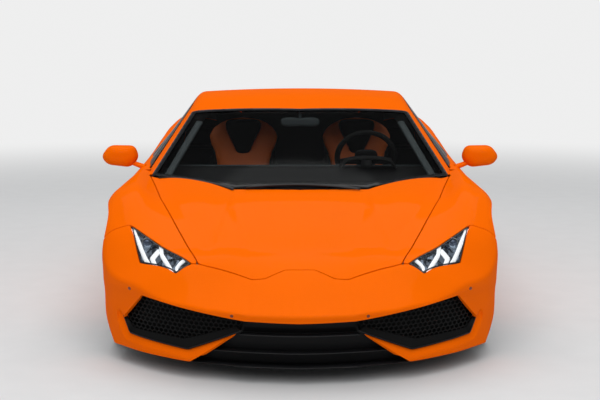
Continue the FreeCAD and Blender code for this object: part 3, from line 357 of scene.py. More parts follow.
@dataclass(frozen=True)
class Outline:
    """A closed outline in a plane, whose distance is negative inside."""

    corners: np.ndarray

    @classmethod
    def whole(cls, half: Sequence[tuple[float, float]]) -> "Outline":
        """A half outline with its mirror image about the centre line."""
        left = np.array(half, float)
        right = left[::-1][left[::-1, 0] > 1e-6] * (-1, 1)
        return cls(np.concatenate([left, right]))

    @classmethod
    def one(cls, corners: Sequence[tuple[float, float]]) -> "Outline":
        """An outline as it is given."""
        return cls(np.array(corners, float))

    def distance(self, a: np.ndarray, b: np.ndarray) -> np.ndarray:
        """Distance of each point to the nearest side, less than zero inside by the crossings to its right."""
        best = np.full(a.shape, 1e9)
        inside = np.zeros(a.shape, bool)
        for start, end in zip(self.corners, np.roll(self.corners, -1, 0)):
            run = end - start
            t = np.clip(((a - start[0]) * run[0] + (b - start[1]) * run[1]) / (run @ run), 0, 1)
            best = np.minimum(best, np.hypot(a - start[0] - t * run[0], b - start[1] - t * run[1]))
            straddles = (start[1] > b) != (end[1] > b)
            if abs(run[1]) > 1e-12:
                inside ^= straddles & (a < start[0] + (b - start[1]) * run[0] / run[1])
        return np.where(inside, -best, best)


class Trims:
    """The cuts that part the panels, each a field that is positive where it takes away."""

    bonnet_outline = Outline.whole([(x, s - BONNET_LEAN * z) for x, s, z in BONNET])
    cover_outline = Outline.whole([(x, s - COVER_LEAN * z) for x, s, z in COVER])
    lamp_outline = Outline.one(LAMP)
    intake_outline = Outline.one(INTAKE)
    centre_outline = Outline.whole(CENTRE)
    bumper_outline = Outline.whole(BUMPER)
    wing_outline = Outline.one(WING)
    screen_outline = Outline.whole(WINDSCREEN)
    window_outline = Outline.one(WINDOW)
    side_intake_outline = Outline.one(SIDE_INTAKE)
    diffuser_outline = Outline.whole(DIFFUSER_OPENING)
    rear_outline = Outline.whole(REAR_OPENING)
    plate_outline = Outline.whole(PLATE)

    @classmethod
    def bonnet(cls, p: np.ndarray) -> np.ndarray:
        """Distance from the bonnet's leaning outline."""
        return cls.bonnet_outline.distance(p[..., 0], p[..., 1] - BONNET_LEAN * p[..., 2])

    @classmethod
    def cover(cls, p: np.ndarray) -> np.ndarray:
        """Distance from the engine cover's leaning outline."""
        return cls.cover_outline.distance(p[..., 0], p[..., 1] - COVER_LEAN * p[..., 2])

    @classmethod
    def lamp(cls, p: np.ndarray) -> np.ndarray:
        """Distance from a headlamp's outline in plan."""
        return cls.lamp_outline.distance(np.abs(p[..., 0]), p[..., 1])

    @staticmethod
    def arch(end: End, p: np.ndarray) -> np.ndarray:
        """Depth inside a wheel arch: round above the axle and straight down below it."""
        along, up = p[..., 1] - end.axle, p[..., 2] - end.tyre
        return end.arch - np.where(up > 0, np.hypot(along, up), np.abs(along))

    @staticmethod
    def off_cabin(p: np.ndarray, gap: float) -> np.ndarray:
        """Above the waist, how far a point is inside the cabin's walls and the gap round them."""
        return np.where(p[..., 2] > WAIST_CUT, -FORM.cabin(p) - gap, -1.0)

    @staticmethod
    def door_reach(p: np.ndarray) -> np.ndarray:
        """Distance from the door's hinge in plan."""
        return np.hypot(np.abs(p[..., 0]) - HINGE_X, p[..., 1] - DOOR_FRONT)


def turned(faces: np.ndarray) -> np.ndarray:
    """Faces with their corners the other way round."""
    third = faces[:, 2:3] == faces[:, 3:4]
    return np.where(third, faces[:, [2, 1, 0, 0]], faces[:, [3, 2, 1, 0]])


@dataclass
class Shape:
    """Points and faces of a mesh being made. Faces are rows of four corners, the last twice in a triangle."""

    points: np.ndarray
    faces: np.ndarray
    tags: np.ndarray = field(default_factory=lambda: np.zeros(0, int))

    def __post_init__(self) -> None:
        """Gives every face the first finish unless it is said otherwise."""
        if len(self.tags) != len(self.faces):
            self.tags = np.zeros(len(self.faces), int)

    def mirrored(self) -> "Shape":
        """The shape on the car's other side, its faces turned back outwards."""
        return Shape(self.points * (-1, 1, 1), turned(self.faces), self.tags)

    def joined(self, *others: "Shape") -> "Shape":
        """This shape and others as one."""
        points, faces, tags = [self.points], [self.faces], [self.tags]
        count = len(self.points)
        for other in others:
            points.append(other.points)
            faces.append(other.faces + count)
            tags.append(other.tags)
            count += len(other.points)
        return Shape(np.concatenate(points), np.concatenate(faces), np.concatenate(tags))

    def moved(self, *step: float) -> "Shape":
        """The shape moved over."""
        return Shape(self.points + step, self.faces, self.tags)

    def both(self) -> "Shape":
        """The shape with its mirror image."""
        return self.joined(self.mirrored())

    def normals(self) -> np.ndarray:
        """The mean direction of the faces round each point, weighted by their areas."""
        a, b, c, d = (self.points[self.faces[:, k]] for k in range(4))
        face = np.cross(c - a, d - b)
        total = np.zeros_like(self.points)
        for k in range(4):
            np.add.at(total, self.faces[:, k], face)
        return total / np.maximum(np.linalg.norm(total, axis=1, keepdims=True), 1e-12)

    def walled(self, inner: np.ndarray, inner_tag: int = 1) -> "Shape":
        """The shape closed to a wall: its own faces outside, the same faces at inner points reversed, and
        a rim over each edge that only one face has.

        Args:
            inner: for each point, where it lies on the inner side.
            inner_tag: finish of the inner side.

        Returns:
            The closed shape.
        """
        count = len(self.points)
        quads = self.faces
        edges = np.concatenate([quads[:, [k, (k + 1) % 4]] for k in range(4)])
        edges = edges[edges[:, 0] != edges[:, 1]]
        key = np.sort(edges, 1) @ (count, 1)
        _, first, times = np.unique(key, return_index=True, return_counts=True)
        rim = edges[first[times == 1]]
        rim_faces = np.stack([rim[:, 1], rim[:, 0], rim[:, 0] + count, rim[:, 1] + count], 1)
        faces = np.concatenate([quads, turned(quads) + count, rim_faces])
        tags = np.concatenate([self.tags, np.full(len(quads), inner_tag), np.zeros(len(rim_faces), int)])
        return Shape(np.concatenate([self.points, inner]), faces, tags)

    def backed(self, *step: float) -> "Shape":
        """The shape closed to a wall by a copy of itself that is moved over."""
        return self.walled(self.points + step, 0)

    def thick(self, wall: float, inner_tag: int = 1) -> "Shape":
        """The shape closed to a wall of even thickness inwards."""
        return self.walled(self.points - wall * self.normals(), inner_tag)


def together(parts: Sequence[Shape]) -> Shape:
    """Several shapes as one."""
    return parts[0].joined(*parts[1:])


def grid(points: np.ndarray, wrap: bool = False) -> Shape:
    """A sheet over a grid of points, its second direction closed to a ring if asked."""
    rows, columns = points.shape[:2]
    index = np.arange(rows * columns).reshape(rows, columns)
    if wrap:
        index = np.concatenate([index, index[:, :1]], 1)
    faces = np.stack([index[:-1, :-1], index[1:, :-1], index[1:, 1:], index[:-1, 1:]], -1).reshape(-1, 4)
    return Shape(points.reshape(-1, 3), faces)


def closed(points: np.ndarray) -> Shape:
    """Rings of points joined to a skin, both ends drawn to the middle of their ring, faces outwards."""
    ends = points[[0, -1]].mean(1, keepdims=True)
    body = grid(points, True)
    count, ring = len(body.points), points.shape[1]
    step = np.arange(ring)
    following = (step + 1) % ring
    first = np.stack([step, following, 0 * step + count, 0 * step + count], 1)
    start = count - ring
    last = np.stack([start + following, start + step, 0 * step + count + 1, 0 * step + count + 1], 1)
    return outward(Shape(np.concatenate([body.points, ends[:, 0]]),
                         np.concatenate([body.faces, first, last])))


def outward(shape: Shape) -> Shape:
    """A closed shape with its faces turned outwards: its volume, summed from the origin, is made positive."""
    a, b, c, d = (shape.points[shape.faces[:, k]] - shape.points.mean(0) for k in range(4))
    volume = np.sum(a * np.cross(b, c)) + np.sum(a * np.cross(c, d))
    return shape if volume > 0 else Shape(shape.points, turned(shape.faces), shape.tags)


def facing(sheet: Shape, way: tuple[float, float, float]) -> Shape:
    """A sheet with its faces turned to a direction."""
    return sheet if np.sum(sheet.normals() @ np.array(way)) > 0 else Shape(sheet.points,
                                                                           turned(sheet.faces), sheet.tags)


def ringed(rings: np.ndarray) -> Shape:
    """Rings joined one to the next and the last to the first."""
    return outward(grid(np.concatenate([rings, rings[:1]]), True))


def pillow(path: np.ndarray, wide: np.ndarray | float, deep: np.ndarray | float,
           square: float = 3.0) -> Shape:
    """A stuffed roll along a path: its section shrinks to nothing over both ends like a superellipse."""
    t = np.abs(np.linspace(-1, 1, len(path)))
    end = np.maximum(1 - t ** 9, 0.0004) ** (1 / 2.4)
    return swept(path, wide * end, deep * end, (1, 0, 0), 36, square)


def smooth_ring(corners: Sequence[tuple[float, float]], cut: float, steps: int = 7) -> np.ndarray:
    """A closed outline with a parabola at each corner.

    Args:
        corners: the outline's corners.
        cut: how far from a corner its parabola starts.
        steps: points on each parabola.

    Returns:
        The outline's points in order.
    """
    here = np.array(corners, float)
    before, after = np.roll(here, 1, 0), np.roll(here, -1, 0)
    span_a = np.linalg.norm(before - here, axis=1, keepdims=True)
    span_b = np.linalg.norm(after - here, axis=1, keepdims=True)
    start = here + (before - here) / span_a * np.minimum(cut, 0.48 * span_a)
    end = here + (after - here) / span_b * np.minimum(cut, 0.48 * span_b)
    t = np.linspace(0, 1, steps)[None, :, None]
    curve = (1 - t) ** 2 * start[:, None] + 2 * t * (1 - t) * here[:, None] + t * t * end[:, None]
    return curve.reshape(-1, 2)


def swept(path: np.ndarray, wide: np.ndarray | float, deep: np.ndarray | float,
          side: tuple[float, float, float], segments: int = 20, square: float = 2.0) -> Shape:
    """A section carried along a path: at each point a superellipse across the path, wide along the side
    direction and deep at right angles to it.

    Args:
        path: points along the middle.
        wide: half width, one or at each point.
        deep: half depth, one or at each point.
        side: direction of the width before it is squared to the path.
        segments: points round the section.
        square: power of the superellipse, 2 for an ellipse.

    Returns:
        The closed shape.
    """
    ahead = np.gradient(path, axis=0)
    ahead /= np.linalg.norm(ahead, axis=1, keepdims=True)
    across = np.array(side) - ahead * (ahead @ np.array(side))[:, None]
    across /= np.linalg.norm(across, axis=1, keepdims=True)
    up = np.cross(ahead, across)
    a = full_turn(segments)
    ca = np.sign(np.cos(a)) * np.abs(np.cos(a)) ** (2 / square)
    sa = np.sign(np.sin(a)) * np.abs(np.sin(a)) ** (2 / square)
    ring = across[:, None] * (ca[:, None] * np.atleast_1d(wide)[:, None, None])
    ring = ring + up[:, None] * (sa[:, None] * np.atleast_1d(deep)[:, None, None])
    return closed(path[:, None] + ring)


def along(points: Sequence[tuple], count: int) -> np.ndarray:
    """Points spread evenly along a smooth curve through a few given ones."""
    given = np.array(points, float)
    run = np.concatenate([[0], np.cumsum(np.linalg.norm(np.diff(given, axis=0), axis=1))])
    return through(run, given, np.linspace(0, run[-1], count))


def straight(points: Sequence[tuple], count: int) -> np.ndarray:
    """Points spread evenly along the straight runs between given ones."""
    given = np.array(points, float)
    run = np.concatenate([[0], np.cumsum(np.linalg.norm(np.diff(given, axis=0), axis=1))])
    at = np.linspace(0, run[-1], count)
    return np.stack([np.interp(at, run, given[:, k]) for k in range(given.shape[1])], 1)


def full_turn(count: int) -> np.ndarray:
    """Angles spread evenly over a whole turn."""
    return np.linspace(0, 2 * np.pi, count, endpoint=False)


def turned_about_x(profile: np.ndarray, segments: int) -> np.ndarray:
    """Rings of points about the X axis from a profile of place along it and distance from it."""
    a = full_turn(segments)
    x = np.repeat(profile[:, :1], segments, 1)
    return np.stack([x, profile[:, 1:] * np.cos(a), profile[:, 1:] * np.sin(a)], -1)


def honeycomb(outline: "Outline", pitch: float, web: float) -> Shape:
    """Six-sided rings over an outline, side by side and joined, in the plane of station 0.

    Args:
        outline: what they fill.
        pitch: distance from a ring's middle to the next.
        web: width of the bars between the holes.

    Returns:
        The mesh as a flat sheet.
    """
    low, high = outline.corners.min(0), outline.corners.max(0)
    columns, rows = np.meshgrid(np.arange(int((high[0] - low[0]) / pitch) + 2),
                                np.arange(int((high[1] - low[1]) / (pitch * 0.866)) + 2))
    x = low[0] + (columns + 0.5 * (rows % 2)) * pitch
    z = low[1] + rows * pitch * math.sqrt(3) / 2
    keep = outline.distance(x, z) < 0.35 * pitch
    centre = np.stack([x[keep], 0 * x[keep], z[keep]], -1)[:, None]
    a = np.arange(6) * np.pi / 3
    way = np.stack([np.sin(a), 0 * a, np.cos(a)], -1)[None]
    cells = np.concatenate([centre + way * pitch / math.sqrt(3),
                            centre + way * (pitch - web) / math.sqrt(3)], 1)
    k = np.arange(6)
    ring = np.stack([k, (k + 1) % 6, (k + 1) % 6 + 6, k + 6], 1)
    faces = (ring[None] + 12 * np.arange(len(cells))[:, None, None]).reshape(-1, 4)
    points, merged = np.unique(np.round(cells.reshape(-1, 3), 5), axis=0, return_inverse=True)
    return Shape(points, merged.ravel()[faces])


class Rays:
    """Ways to spread rays over a form, each giving a ray's start and direction at two parameters."""

    @staticmethod
    def plan(low: float) -> Callable:
        """Upright rays from a height, over distance out and station."""
        return lambda u, v: (np.stack([u, v, 0 * u + low], -1), np.array([0.0, 0.0, 1.0]))

    @staticmethod
    def side(start: float) -> Callable:
        """Rays to the left from a distance out, over station and height."""
        return lambda u, v: (np.stack([0 * u + start, u, v], -1), np.array([1.0, 0.0, 0.0]))

    @staticmethod
    def ahead(u: np.ndarray, v: np.ndarray) -> tuple[np.ndarray, np.ndarray]:
        """Forward rays from behind the nose, over distance out and height."""
        return np.stack([u, 0 * u + 1.0, v], -1), np.array([0.0, -1.0, 0.0])

    @staticmethod
    def astern(u: np.ndarray, v: np.ndarray) -> tuple[np.ndarray, np.ndarray]:
        """Rearward rays from before the tail, over distance out and height."""
        return np.stack([u, 0 * u + 3.6, v], -1), np.array([0.0, 1.0, 0.0])

    @staticmethod
    def section(u: np.ndarray, v: np.ndarray) -> tuple[np.ndarray, np.ndarray]:
        """Rays across the car from the ground line, over station and angle from upright in degrees."""
        a = np.radians(v)
        return np.stack([0 * u, u, 0 * u], -1), np.stack([np.sin(a), 0 * a, np.cos(a)], -1)

    @staticmethod
    def dome(station: float, forward: float) -> Callable:
        """Rays from a point on the ground, over bearing and elevation in degrees."""
        def rays(u: np.ndarray, v: np.ndarray) -> tuple[np.ndarray, np.ndarray]:
            """Starts and directions."""
            a, e = np.radians(u), np.radians(v)
            way = np.stack([np.sin(a) * np.cos(e), -forward * np.cos(a) * np.cos(e), np.sin(e)], -1)
            return np.stack([0 * u, 0 * u + station, 0 * u], -1), way
        return rays

    @staticmethod
    def spread(station: float, height: float) -> Callable:
        """Rays up from a point, over the two slopes of the ray."""
        def rays(u: np.ndarray, v: np.ndarray) -> tuple[np.ndarray, np.ndarray]:
            """Starts and directions."""
            way = np.stack([u, v, 0 * u + 1], -1)
            return np.stack([0 * u, 0 * u + station, 0 * u + height], -1), way
        return rays


def lifted(form: Field, rays: Callable, u: np.ndarray, v: np.ndarray) -> np.ndarray:
    """Where rays leave a form, found by halving the stretch between inside and outside.

    Args:
        form: the field.
        rays: gives the rays' starts and directions.
        u: first parameter of each ray.
        v: second parameter.

    Returns:
        One point for each ray.
    """
    start, way = rays(u, v)
    low, high = np.zeros(u.shape), np.full(u.shape, RAY_LENGTH)
    for _ in range(HALVINGS):
        middle = (low + high) / 2
        inside = form(start + middle[..., None] * way) < 0
        low, high = np.where(inside, middle, low), np.where(inside, high, middle)
    return start + low[..., None] * way


@dataclass(frozen=True)
class Panel:
    """A part of a form's surface: points where rays leave the form, kept where the trims allow.

    Attributes:
        form: the field whose surface the panel is part of.
        rays: how rays are spread over it.
        across: first parameter's start, end and step.
        along: second parameter's start, end and step.
        outside: field that is positive beyond the panel's edge.
        slides: how often points at the edge are slid onto it.
        off_form: distance from the surface at which a point is left out.
        sliver: share of the middle face area below which a face is left out.
    """

    form: Field
    rays: Callable
    across: tuple[float, float, float]
    along: tuple[float, float, float]
    outside: Field
    slides: ClassVar[int] = 4
    off_form: ClassVar[float] = 0.004
    sliver: ClassVar[float] = 0.02

    def place(self, u: np.ndarray, v: np.ndarray) -> np.ndarray:
        """The form's surface at two parameters."""
        return lifted(self.form, self.rays, u, v)

    def shape(self) -> Shape:
        """The trimmed grid. Of each pair of neighbours on both sides of the edge, the nearer one slides onto
        the edge down the trim's slope; cells with one corner left outside become triangles. Points whose ray
        started outside the form, and so missed its surface, are left out."""
        u, v = np.meshgrid(np.arange(self.across[0], self.across[1], self.across[2]),
                           np.arange(self.along[0], self.along[1], self.along[2]), indexing="ij")
        p = self.place(u, v)
        g = self.outside(p)
        on_edge = np.zeros(g.shape, bool)
        for axis in (0, 1):
            a = np.take(g, np.arange(g.shape[axis] - 1), axis)
            b = np.take(g, np.arange(1, g.shape[axis]), axis)
            cross = (a > 0) != (b > 0)
            nearer = np.abs(a) <= np.abs(b)
            head = (slice(None, -1), slice(None)) if axis == 0 else (slice(None), slice(None, -1))
            tail = (slice(1, None), slice(None)) if axis == 0 else (slice(None), slice(1, None))
            on_edge[head] |= cross & nearer
            on_edge[tail] |= cross & ~nearer
        slope_u, slope_v = np.gradient(g)
        steep = np.maximum(slope_u ** 2 + slope_v ** 2, 1e-12)
        su, sv = u[on_edge], v[on_edge]
        step_u, step_v = (slope_u / steep)[on_edge], (slope_v / steep)[on_edge]
        offset = g[on_edge]
        for _ in range(self.slides):
            su = su - np.clip(offset * step_u, -1, 1) * self.across[2]
            sv = sv - np.clip(offset * step_v, -1, 1) * self.along[2]
            offset = self.outside(self.place(su, sv))
        p[on_edge] = self.place(su, sv)
        out = ((g > 0) & ~on_edge) | (np.abs(self.form(p)) > self.off_form)
        index = np.arange(g.size).reshape(g.shape)
        cells = np.stack([index[:-1, :-1], index[1:, :-1], index[1:, 1:], index[:-1, 1:]], -1).reshape(-1, 4)
        gone = out.ravel()[cells]
        quads = cells[gone.sum(1) == 0]
        thirds = cells[gone.sum(1) == 1]
        corner = np.argmax(out.ravel()[thirds], 1)
        turn = (corner[:, None] + np.array([1, 2, 3, 3])) % 4
        faces = np.concatenate([quads, np.take_along_axis(thirds, turn, 1)])
        points = p.reshape(-1, 3)
        a, b, c, d = (points[faces[:, k]] for k in range(4))
        area = np.linalg.norm(np.cross(c - a, d - b), axis=1) / 2
        faces = faces[area > self.sliver * np.median(area)]
        used, faces = np.unique(faces, return_inverse=True)
        shape = Shape(points[used], faces.reshape(-1, 4))
        _, way = self.rays(u, v)
        ways = np.broadcast_to(way, p.shape).reshape(-1, 3)[used]
        if np.sum(shape.normals() * ways) < 0:
            shape.faces = turned(shape.faces)
        return shape


class Value:
    """A number that varies over a surface, as one output of a material's nodes. Sums add Math nodes."""

    def __init__(self, owner: "Mixture", socket: bpy.types.NodeSocket) -> None:
        """Keeps the socket and the node tree that it belongs to."""
        self.owner = owner
        self.socket = socket

    def maths(self, operation: str, *others: "Value | float") -> "Value":
        """One Math node on this value and others."""
        return self.owner.node("ShaderNodeMath", {"operation": operation}, dict(enumerate((self, *others))))

    def __add__(self, other: "Value | float") -> "Value":
        """Sum."""
        return self.maths("ADD", other)

    __radd__ = __add__

    def __sub__(self, other: "Value | float") -> "Value":
        """Difference."""
        return self.maths("SUBTRACT", other)

    def __rsub__(self, other: float) -> "Value":
        """A number less this value."""
        return (self * -1.0) + other

    def __mul__(self, other: "Value | float") -> "Value":
        """Product."""
        return self.maths("MULTIPLY", other)

    __rmul__ = __mul__

    def above(self, level: float, width: float) -> "Value":
        """0 below the level, 1 above it, and a smooth step of the given width between."""
        return self.owner.node("ShaderNodeMapRange", {"interpolation_type": "SMOOTHSTEP"},
                               {0: self, 1: level - width / 2, 2: level + width / 2, 3: 0.0, 4: 1.0})


Colour = tuple[float, float, float]


class Mixture:
    """A material being mixed from nodes."""

    def __init__(self, name: str) -> None:
        """Starts an empty material with its output."""
        self.material = bpy.data.materials.new(name)
        self.material.use_nodes = True
        self.tree = self.material.node_tree
        self.tree.nodes.clear()
        self.output = self.tree.nodes.new("ShaderNodeOutputMaterial")

    def node(self, kind: str, settings: dict | None = None, inputs: dict | None = None,
             output: int | str = 0) -> Value:
        """Adds a node.

        Args:
            kind: the node's type.
            settings: its properties, set first.
            inputs: values or links by socket.
            output: which output is wanted.

        Returns:
            The wanted output.
        """
        made = self.tree.nodes.new(kind)
        for name, value in (settings or {}).items():
            setattr(made, name, value)
        for key, value in (inputs or {}).items():
            socket = made.inputs[key]
            if isinstance(value, Value):
                self.tree.links.new(value.socket, socket)
            elif isinstance(value, tuple) and len(value) == 3 and socket.type == "RGBA":
                socket.default_value = (*value, 1.0)
            else:
                socket.default_value = value
        return Value(self, made.outputs[output])

    def place(self) -> Value:
        """The point's place in the car's frame."""
        return self.node("ShaderNodeTexCoord", output="Object")

    def axis(self, name: str) -> Value:
        """One coordinate of the point's place."""
        return self.node("ShaderNodeSeparateXYZ", inputs={0: self.place()}, output=name)

    def stored(self, name: str) -> Value:
        """A number stored on the mesh."""
        return self.node("ShaderNodeAttribute", {"attribute_name": name}, output="Fac")

    def noise(self, scale: float, detail: float = 2.0, rough: float = 0.5) -> Value:
        """Clouded noise at a number of waves to the metre."""
        return self.node("ShaderNodeTexNoise", inputs={"Vector": self.place(), "Scale": scale,
                                                       "Detail": detail, "Roughness": rough})

    def cells(self, scale: float) -> Value:
        """Distance inside scattered cells at a number of cells to the metre."""
        return self.node("ShaderNodeTexVoronoi", {"feature": "F1"}, {"Vector": self.place(), "Scale": scale})

    def blend(self, share: Value | float, a: Value | Colour, b: Value | Colour) -> Value:
        """Colour a turning into colour b by the share."""
        return self.node("ShaderNodeMix", {"data_type": "RGBA"}, {0: share, 6: a, 7: b}, output=2)

    def bump(self, height: Value, depth: float) -> Value:
        """A normal roughened by a height, depth in metres."""
        return self.node("ShaderNodeBump", None, {"Height": height, "Distance": depth, "Strength": 1.0})

    def principled(self, **inputs: "Value | float | Colour") -> Value:
        """The main shader; underscores in the names of its inputs stand for spaces."""
        return self.node("ShaderNodeBsdfPrincipled", None,
                         {k.replace("_", " "): v for k, v in inputs.items()})

    def finish(self, shader: Value) -> bpy.types.Material:
        """Puts the shader on the output and returns the material."""
        self.tree.links.new(shader.socket, self.output.inputs["Surface"])
        return self.material


@dataclass(frozen=True)
class Finish:
    """A plain moulded or coated surface with fine grain and a little unevenness of tone.

    Attributes:
        name: the material's name.
        colour: its main colour.
        roughness: mean roughness.
        metallic: share of bare metal.
        coat: clear coat.
        grain: waves of grain to the metre.
        depth: depth of the grain in metres.
        unevenness: how far tone and roughness wander.
        shine: specular level.
    """

    name: str
    colour: Colour
    roughness: float = 0.5
    metallic: float = 0.0
    coat: float = 0.0
    grain: float = 900.0
    depth: float = 0.00015
    unevenness: float = 0.12
    shine: float = 0.5

    def tone(self, mix: Mixture) -> Value:
        """The colour, darker and lighter in soft clouds."""
        dark = tuple(c * (1 - self.unevenness) for c in self.colour)
        light = tuple(min(1.0, c * (1 + self.unevenness)) for c in self.colour)
        return mix.blend(mix.noise(6.0), dark, light)

    def surface(self, mix: Mixture) -> Value:
        """The shader."""
        grain = mix.noise(self.grain, 3.0)
        spread = self.unevenness * self.roughness
        rough = mix.noise(9.0) * spread + (self.roughness - spread / 2)
        return mix.principled(Base_Color=self.tone(mix), Roughness=rough, Metallic=self.metallic,
                              Coat_Weight=self.coat, Coat_Roughness=0.04, Normal=mix.bump(grain, self.depth),
                              Specular_IOR_Level=self.shine)

    def made(self) -> bpy.types.Material:
        """The material, made once and kept by name."""
        found = bpy.data.materials.get(self.name)
        if found is not None:
            return found
        mix = Mixture(self.name)
        return mix.finish(self.surface(mix))


@dataclass(frozen=True)
class BodyPaint(Finish):
    """Deep solid paint under clear coat: fine flakes in the colour and the faint ripple of lacquer."""

    def surface(self, mix: Mixture) -> Value:
        """Flakes lighten the base a little; the lacquer's ripple is a low bump."""
        flakes = mix.cells(2600.0).above(0.35, 0.3)
        tone = mix.blend(flakes, tuple(min(1.0, c * 1.12) for c in self.colour), self.colour)
        shade = mix.blend(mix.noise(2.2), tone, tuple(c * 0.93 for c in self.colour))
        ripple = mix.bump(mix.noise(170.0, 1.0), 0.00002)
        return mix.principled(Base_Color=shade, Roughness=self.roughness, Coat_Weight=self.coat,
                              Coat_Roughness=0.03, Normal=ripple, Specular_IOR_Level=0.0)


@dataclass(frozen=True)
class Glazing(Finish):
    """Tinted safety glass: clear straight on, mirror-like at a slant, and black near the edge.

    Attributes:
        tint: colour of what is seen through it.
        border: width of the black border, for a mesh that says how near the edge is.
        mirror: share of the reflection that is kept.
    """

    tint: Colour = (0.55, 0.60, 0.60)
    border: float = 0.0
    mirror: float = 1.0

    def surface(self, mix: Mixture) -> Value:
        """A see-through tint mixed with gloss by the angle, and the border over both."""
        clear = mix.node("ShaderNodeBsdfTransparent", None, {"Color": self.tint})
        gloss = mix.principled(Base_Color=self.colour, Roughness=self.roughness,
                               Specular_IOR_Level=self.shine)
        slant = mix.node("ShaderNodeFresnel", None, {"IOR": 1.5})
        share = slant * self.mirror + 0.01
        if self.border > 0:
            share = share.maths("MAXIMUM", 1 - mix.stored("edge").above(self.border, 0.003))
        return mix.node("ShaderNodeMixShader", None, {0: share, 1: clear, 2: gloss})


@dataclass(frozen=True)
class Glow(Finish):
    """A lit light guide, a little dimmer in its grain.

    Attributes:
        power: strength of the light.
    """

    power: float = 1.1

    def surface(self, mix: Mixture) -> Value:
        """White that shines at about the level of white paper in the same light."""
        return mix.principled(Base_Color=self.colour, Roughness=self.roughness, Emission_Color=self.tone(mix),
                              Emission_Strength=self.power)


@dataclass(frozen=True)
class PaleFloor(Finish):
    """Pale studio paper that the camera sees turn into the backdrop's tone away from the car.

    Attributes:
        clear_from: distance from the car's middle at which it starts to turn.
        backdrop: the backdrop's tone.
    """

    clear_from: float = 4.5
    backdrop: Colour = (0.86, 0.86, 0.86)

    def surface(self, mix: Mixture) -> Value:
        """Paper near the car, mixed by distance with the backdrop's tone for the camera's rays."""
        paper = mix.principled(Base_Color=self.tone(mix), Roughness=self.roughness, Specular_IOR_Level=0.1)
        tone = mix.node("ShaderNodeEmission", None, {"Color": self.backdrop})
        x, y = mix.axis("X"), mix.axis("Y")
        away = (x * x + y * y).maths("SQRT").above(self.clear_from + 3.0, 6.0)
        path = mix.node("ShaderNodeLightPath", output="Is Camera Ray")
        return mix.node("ShaderNodeMixShader", None, {0: away * path, 1: paper, 2: tone})


class Stock:
    """The finishes of the car."""

    paint = BodyPaint("orange_paint", (0.92, 0.136, 0.0005), 0.30, coat=0.06)
    primer = Finish("panel_back", (0.020, 0.018, 0.017), 0.6)
    trim = Finish("black_moulding", (0.006, 0.006, 0.0065), 0.5, grain=1400.0, shine=0.14)
    gloss = Finish("gloss_black", (0.005, 0.005, 0.006), 0.12, coat=0.35, depth=0.00002, shine=0.2)
    glass = Glazing("window_glass", (0.010, 0.012, 0.013), 0.03, tint=(0.78, 0.82, 0.82))
    screen = Glazing("windscreen_glass", (0.003, 0.003, 0.0035), 0.03, shine=0.10, tint=(0.96, 0.97, 0.965),
                     border=0.030, mirror=0.20)
    lens = Glazing("lamp_lens", (0.008, 0.008, 0.009), 0.02, tint=(0.97, 0.98, 0.99),
                   border=0.006, mirror=0.30)
    glow = Glow("lamp_light", (1.0, 1.0, 1.0), 0.3, power=0.85)
    mirror_glass = Finish("mirror_glass", (0.75, 0.78, 0.80), 0.03, metallic=1.0, depth=0.0)
    rubber = Finish("tyre_rubber", (0.018, 0.018, 0.019), 0.75, grain=700.0)
    alloy = Finish("wheel_alloy", (0.16, 0.16, 0.17), 0.28, metallic=0.9, coat=0.4, depth=0.00004)
    casting = Finish("cast_alloy", (0.34, 0.34, 0.35), 0.5, metallic=0.9, grain=380.0, depth=0.0004)
    steel = Finish("steel", (0.42, 0.41, 0.40), 0.35, metallic=1.0)
    tub = Finish("floor_composite", (0.016, 0.016, 0.017), 0.6, grain=260.0, shine=0.25)
    dash = Finish("dash_skin", (0.004, 0.004, 0.0045), 0.7, grain=520.0, depth=0.0003, shine=0.12)
    hide = Finish("orange_hide", (0.85, 0.16, 0.010), 0.5, grain=480.0, depth=0.0003)
    tail = Finish("tail_lamp_red", (0.35, 0.008, 0.006), 0.15, coat=1.0, depth=0.00002)
    chrome = Finish("lamp_reflector", (0.16, 0.19, 0.23), 0.20, metallic=1.0, depth=0.00003)
    bulb = Finish("projector_glass", (0.10, 0.13, 0.20), 0.04, metallic=0.6, coat=1.0, depth=0.0)
    mesh = Finish("mesh_black", (0.004, 0.004, 0.004), 0.5, depth=0.00003, shine=0.12)
    grey = Finish("grey_trim", (0.034, 0.042, 0.045), 0.6, shine=0.2)
    satin = Finish("satin_black", (0.009, 0.009, 0.010), 0.35, depth=0.00005, shine=0.25)
    suede = Finish("black_suede", (0.008, 0.008, 0.008), 0.9, grain=1500.0, depth=0.0004, shine=0.1)
    piping = Finish("seat_piping", (0.55, 0.10, 0.012), 0.45)
    red_lens = Glazing("tail_lens", (0.03, 0.002, 0.002), 0.03, tint=(0.80, 0.05, 0.04),
                       border=0.004, mirror=0.8)
    red_glow = Glow("tail_light", (1.0, 0.05, 0.03), 0.3, power=0.9)
    plate = Finish("blank_plate", (0.66, 0.66, 0.64), 0.4)
    bezel = Finish("sensor_cap", (0.16, 0.022, 0.004), 0.45)


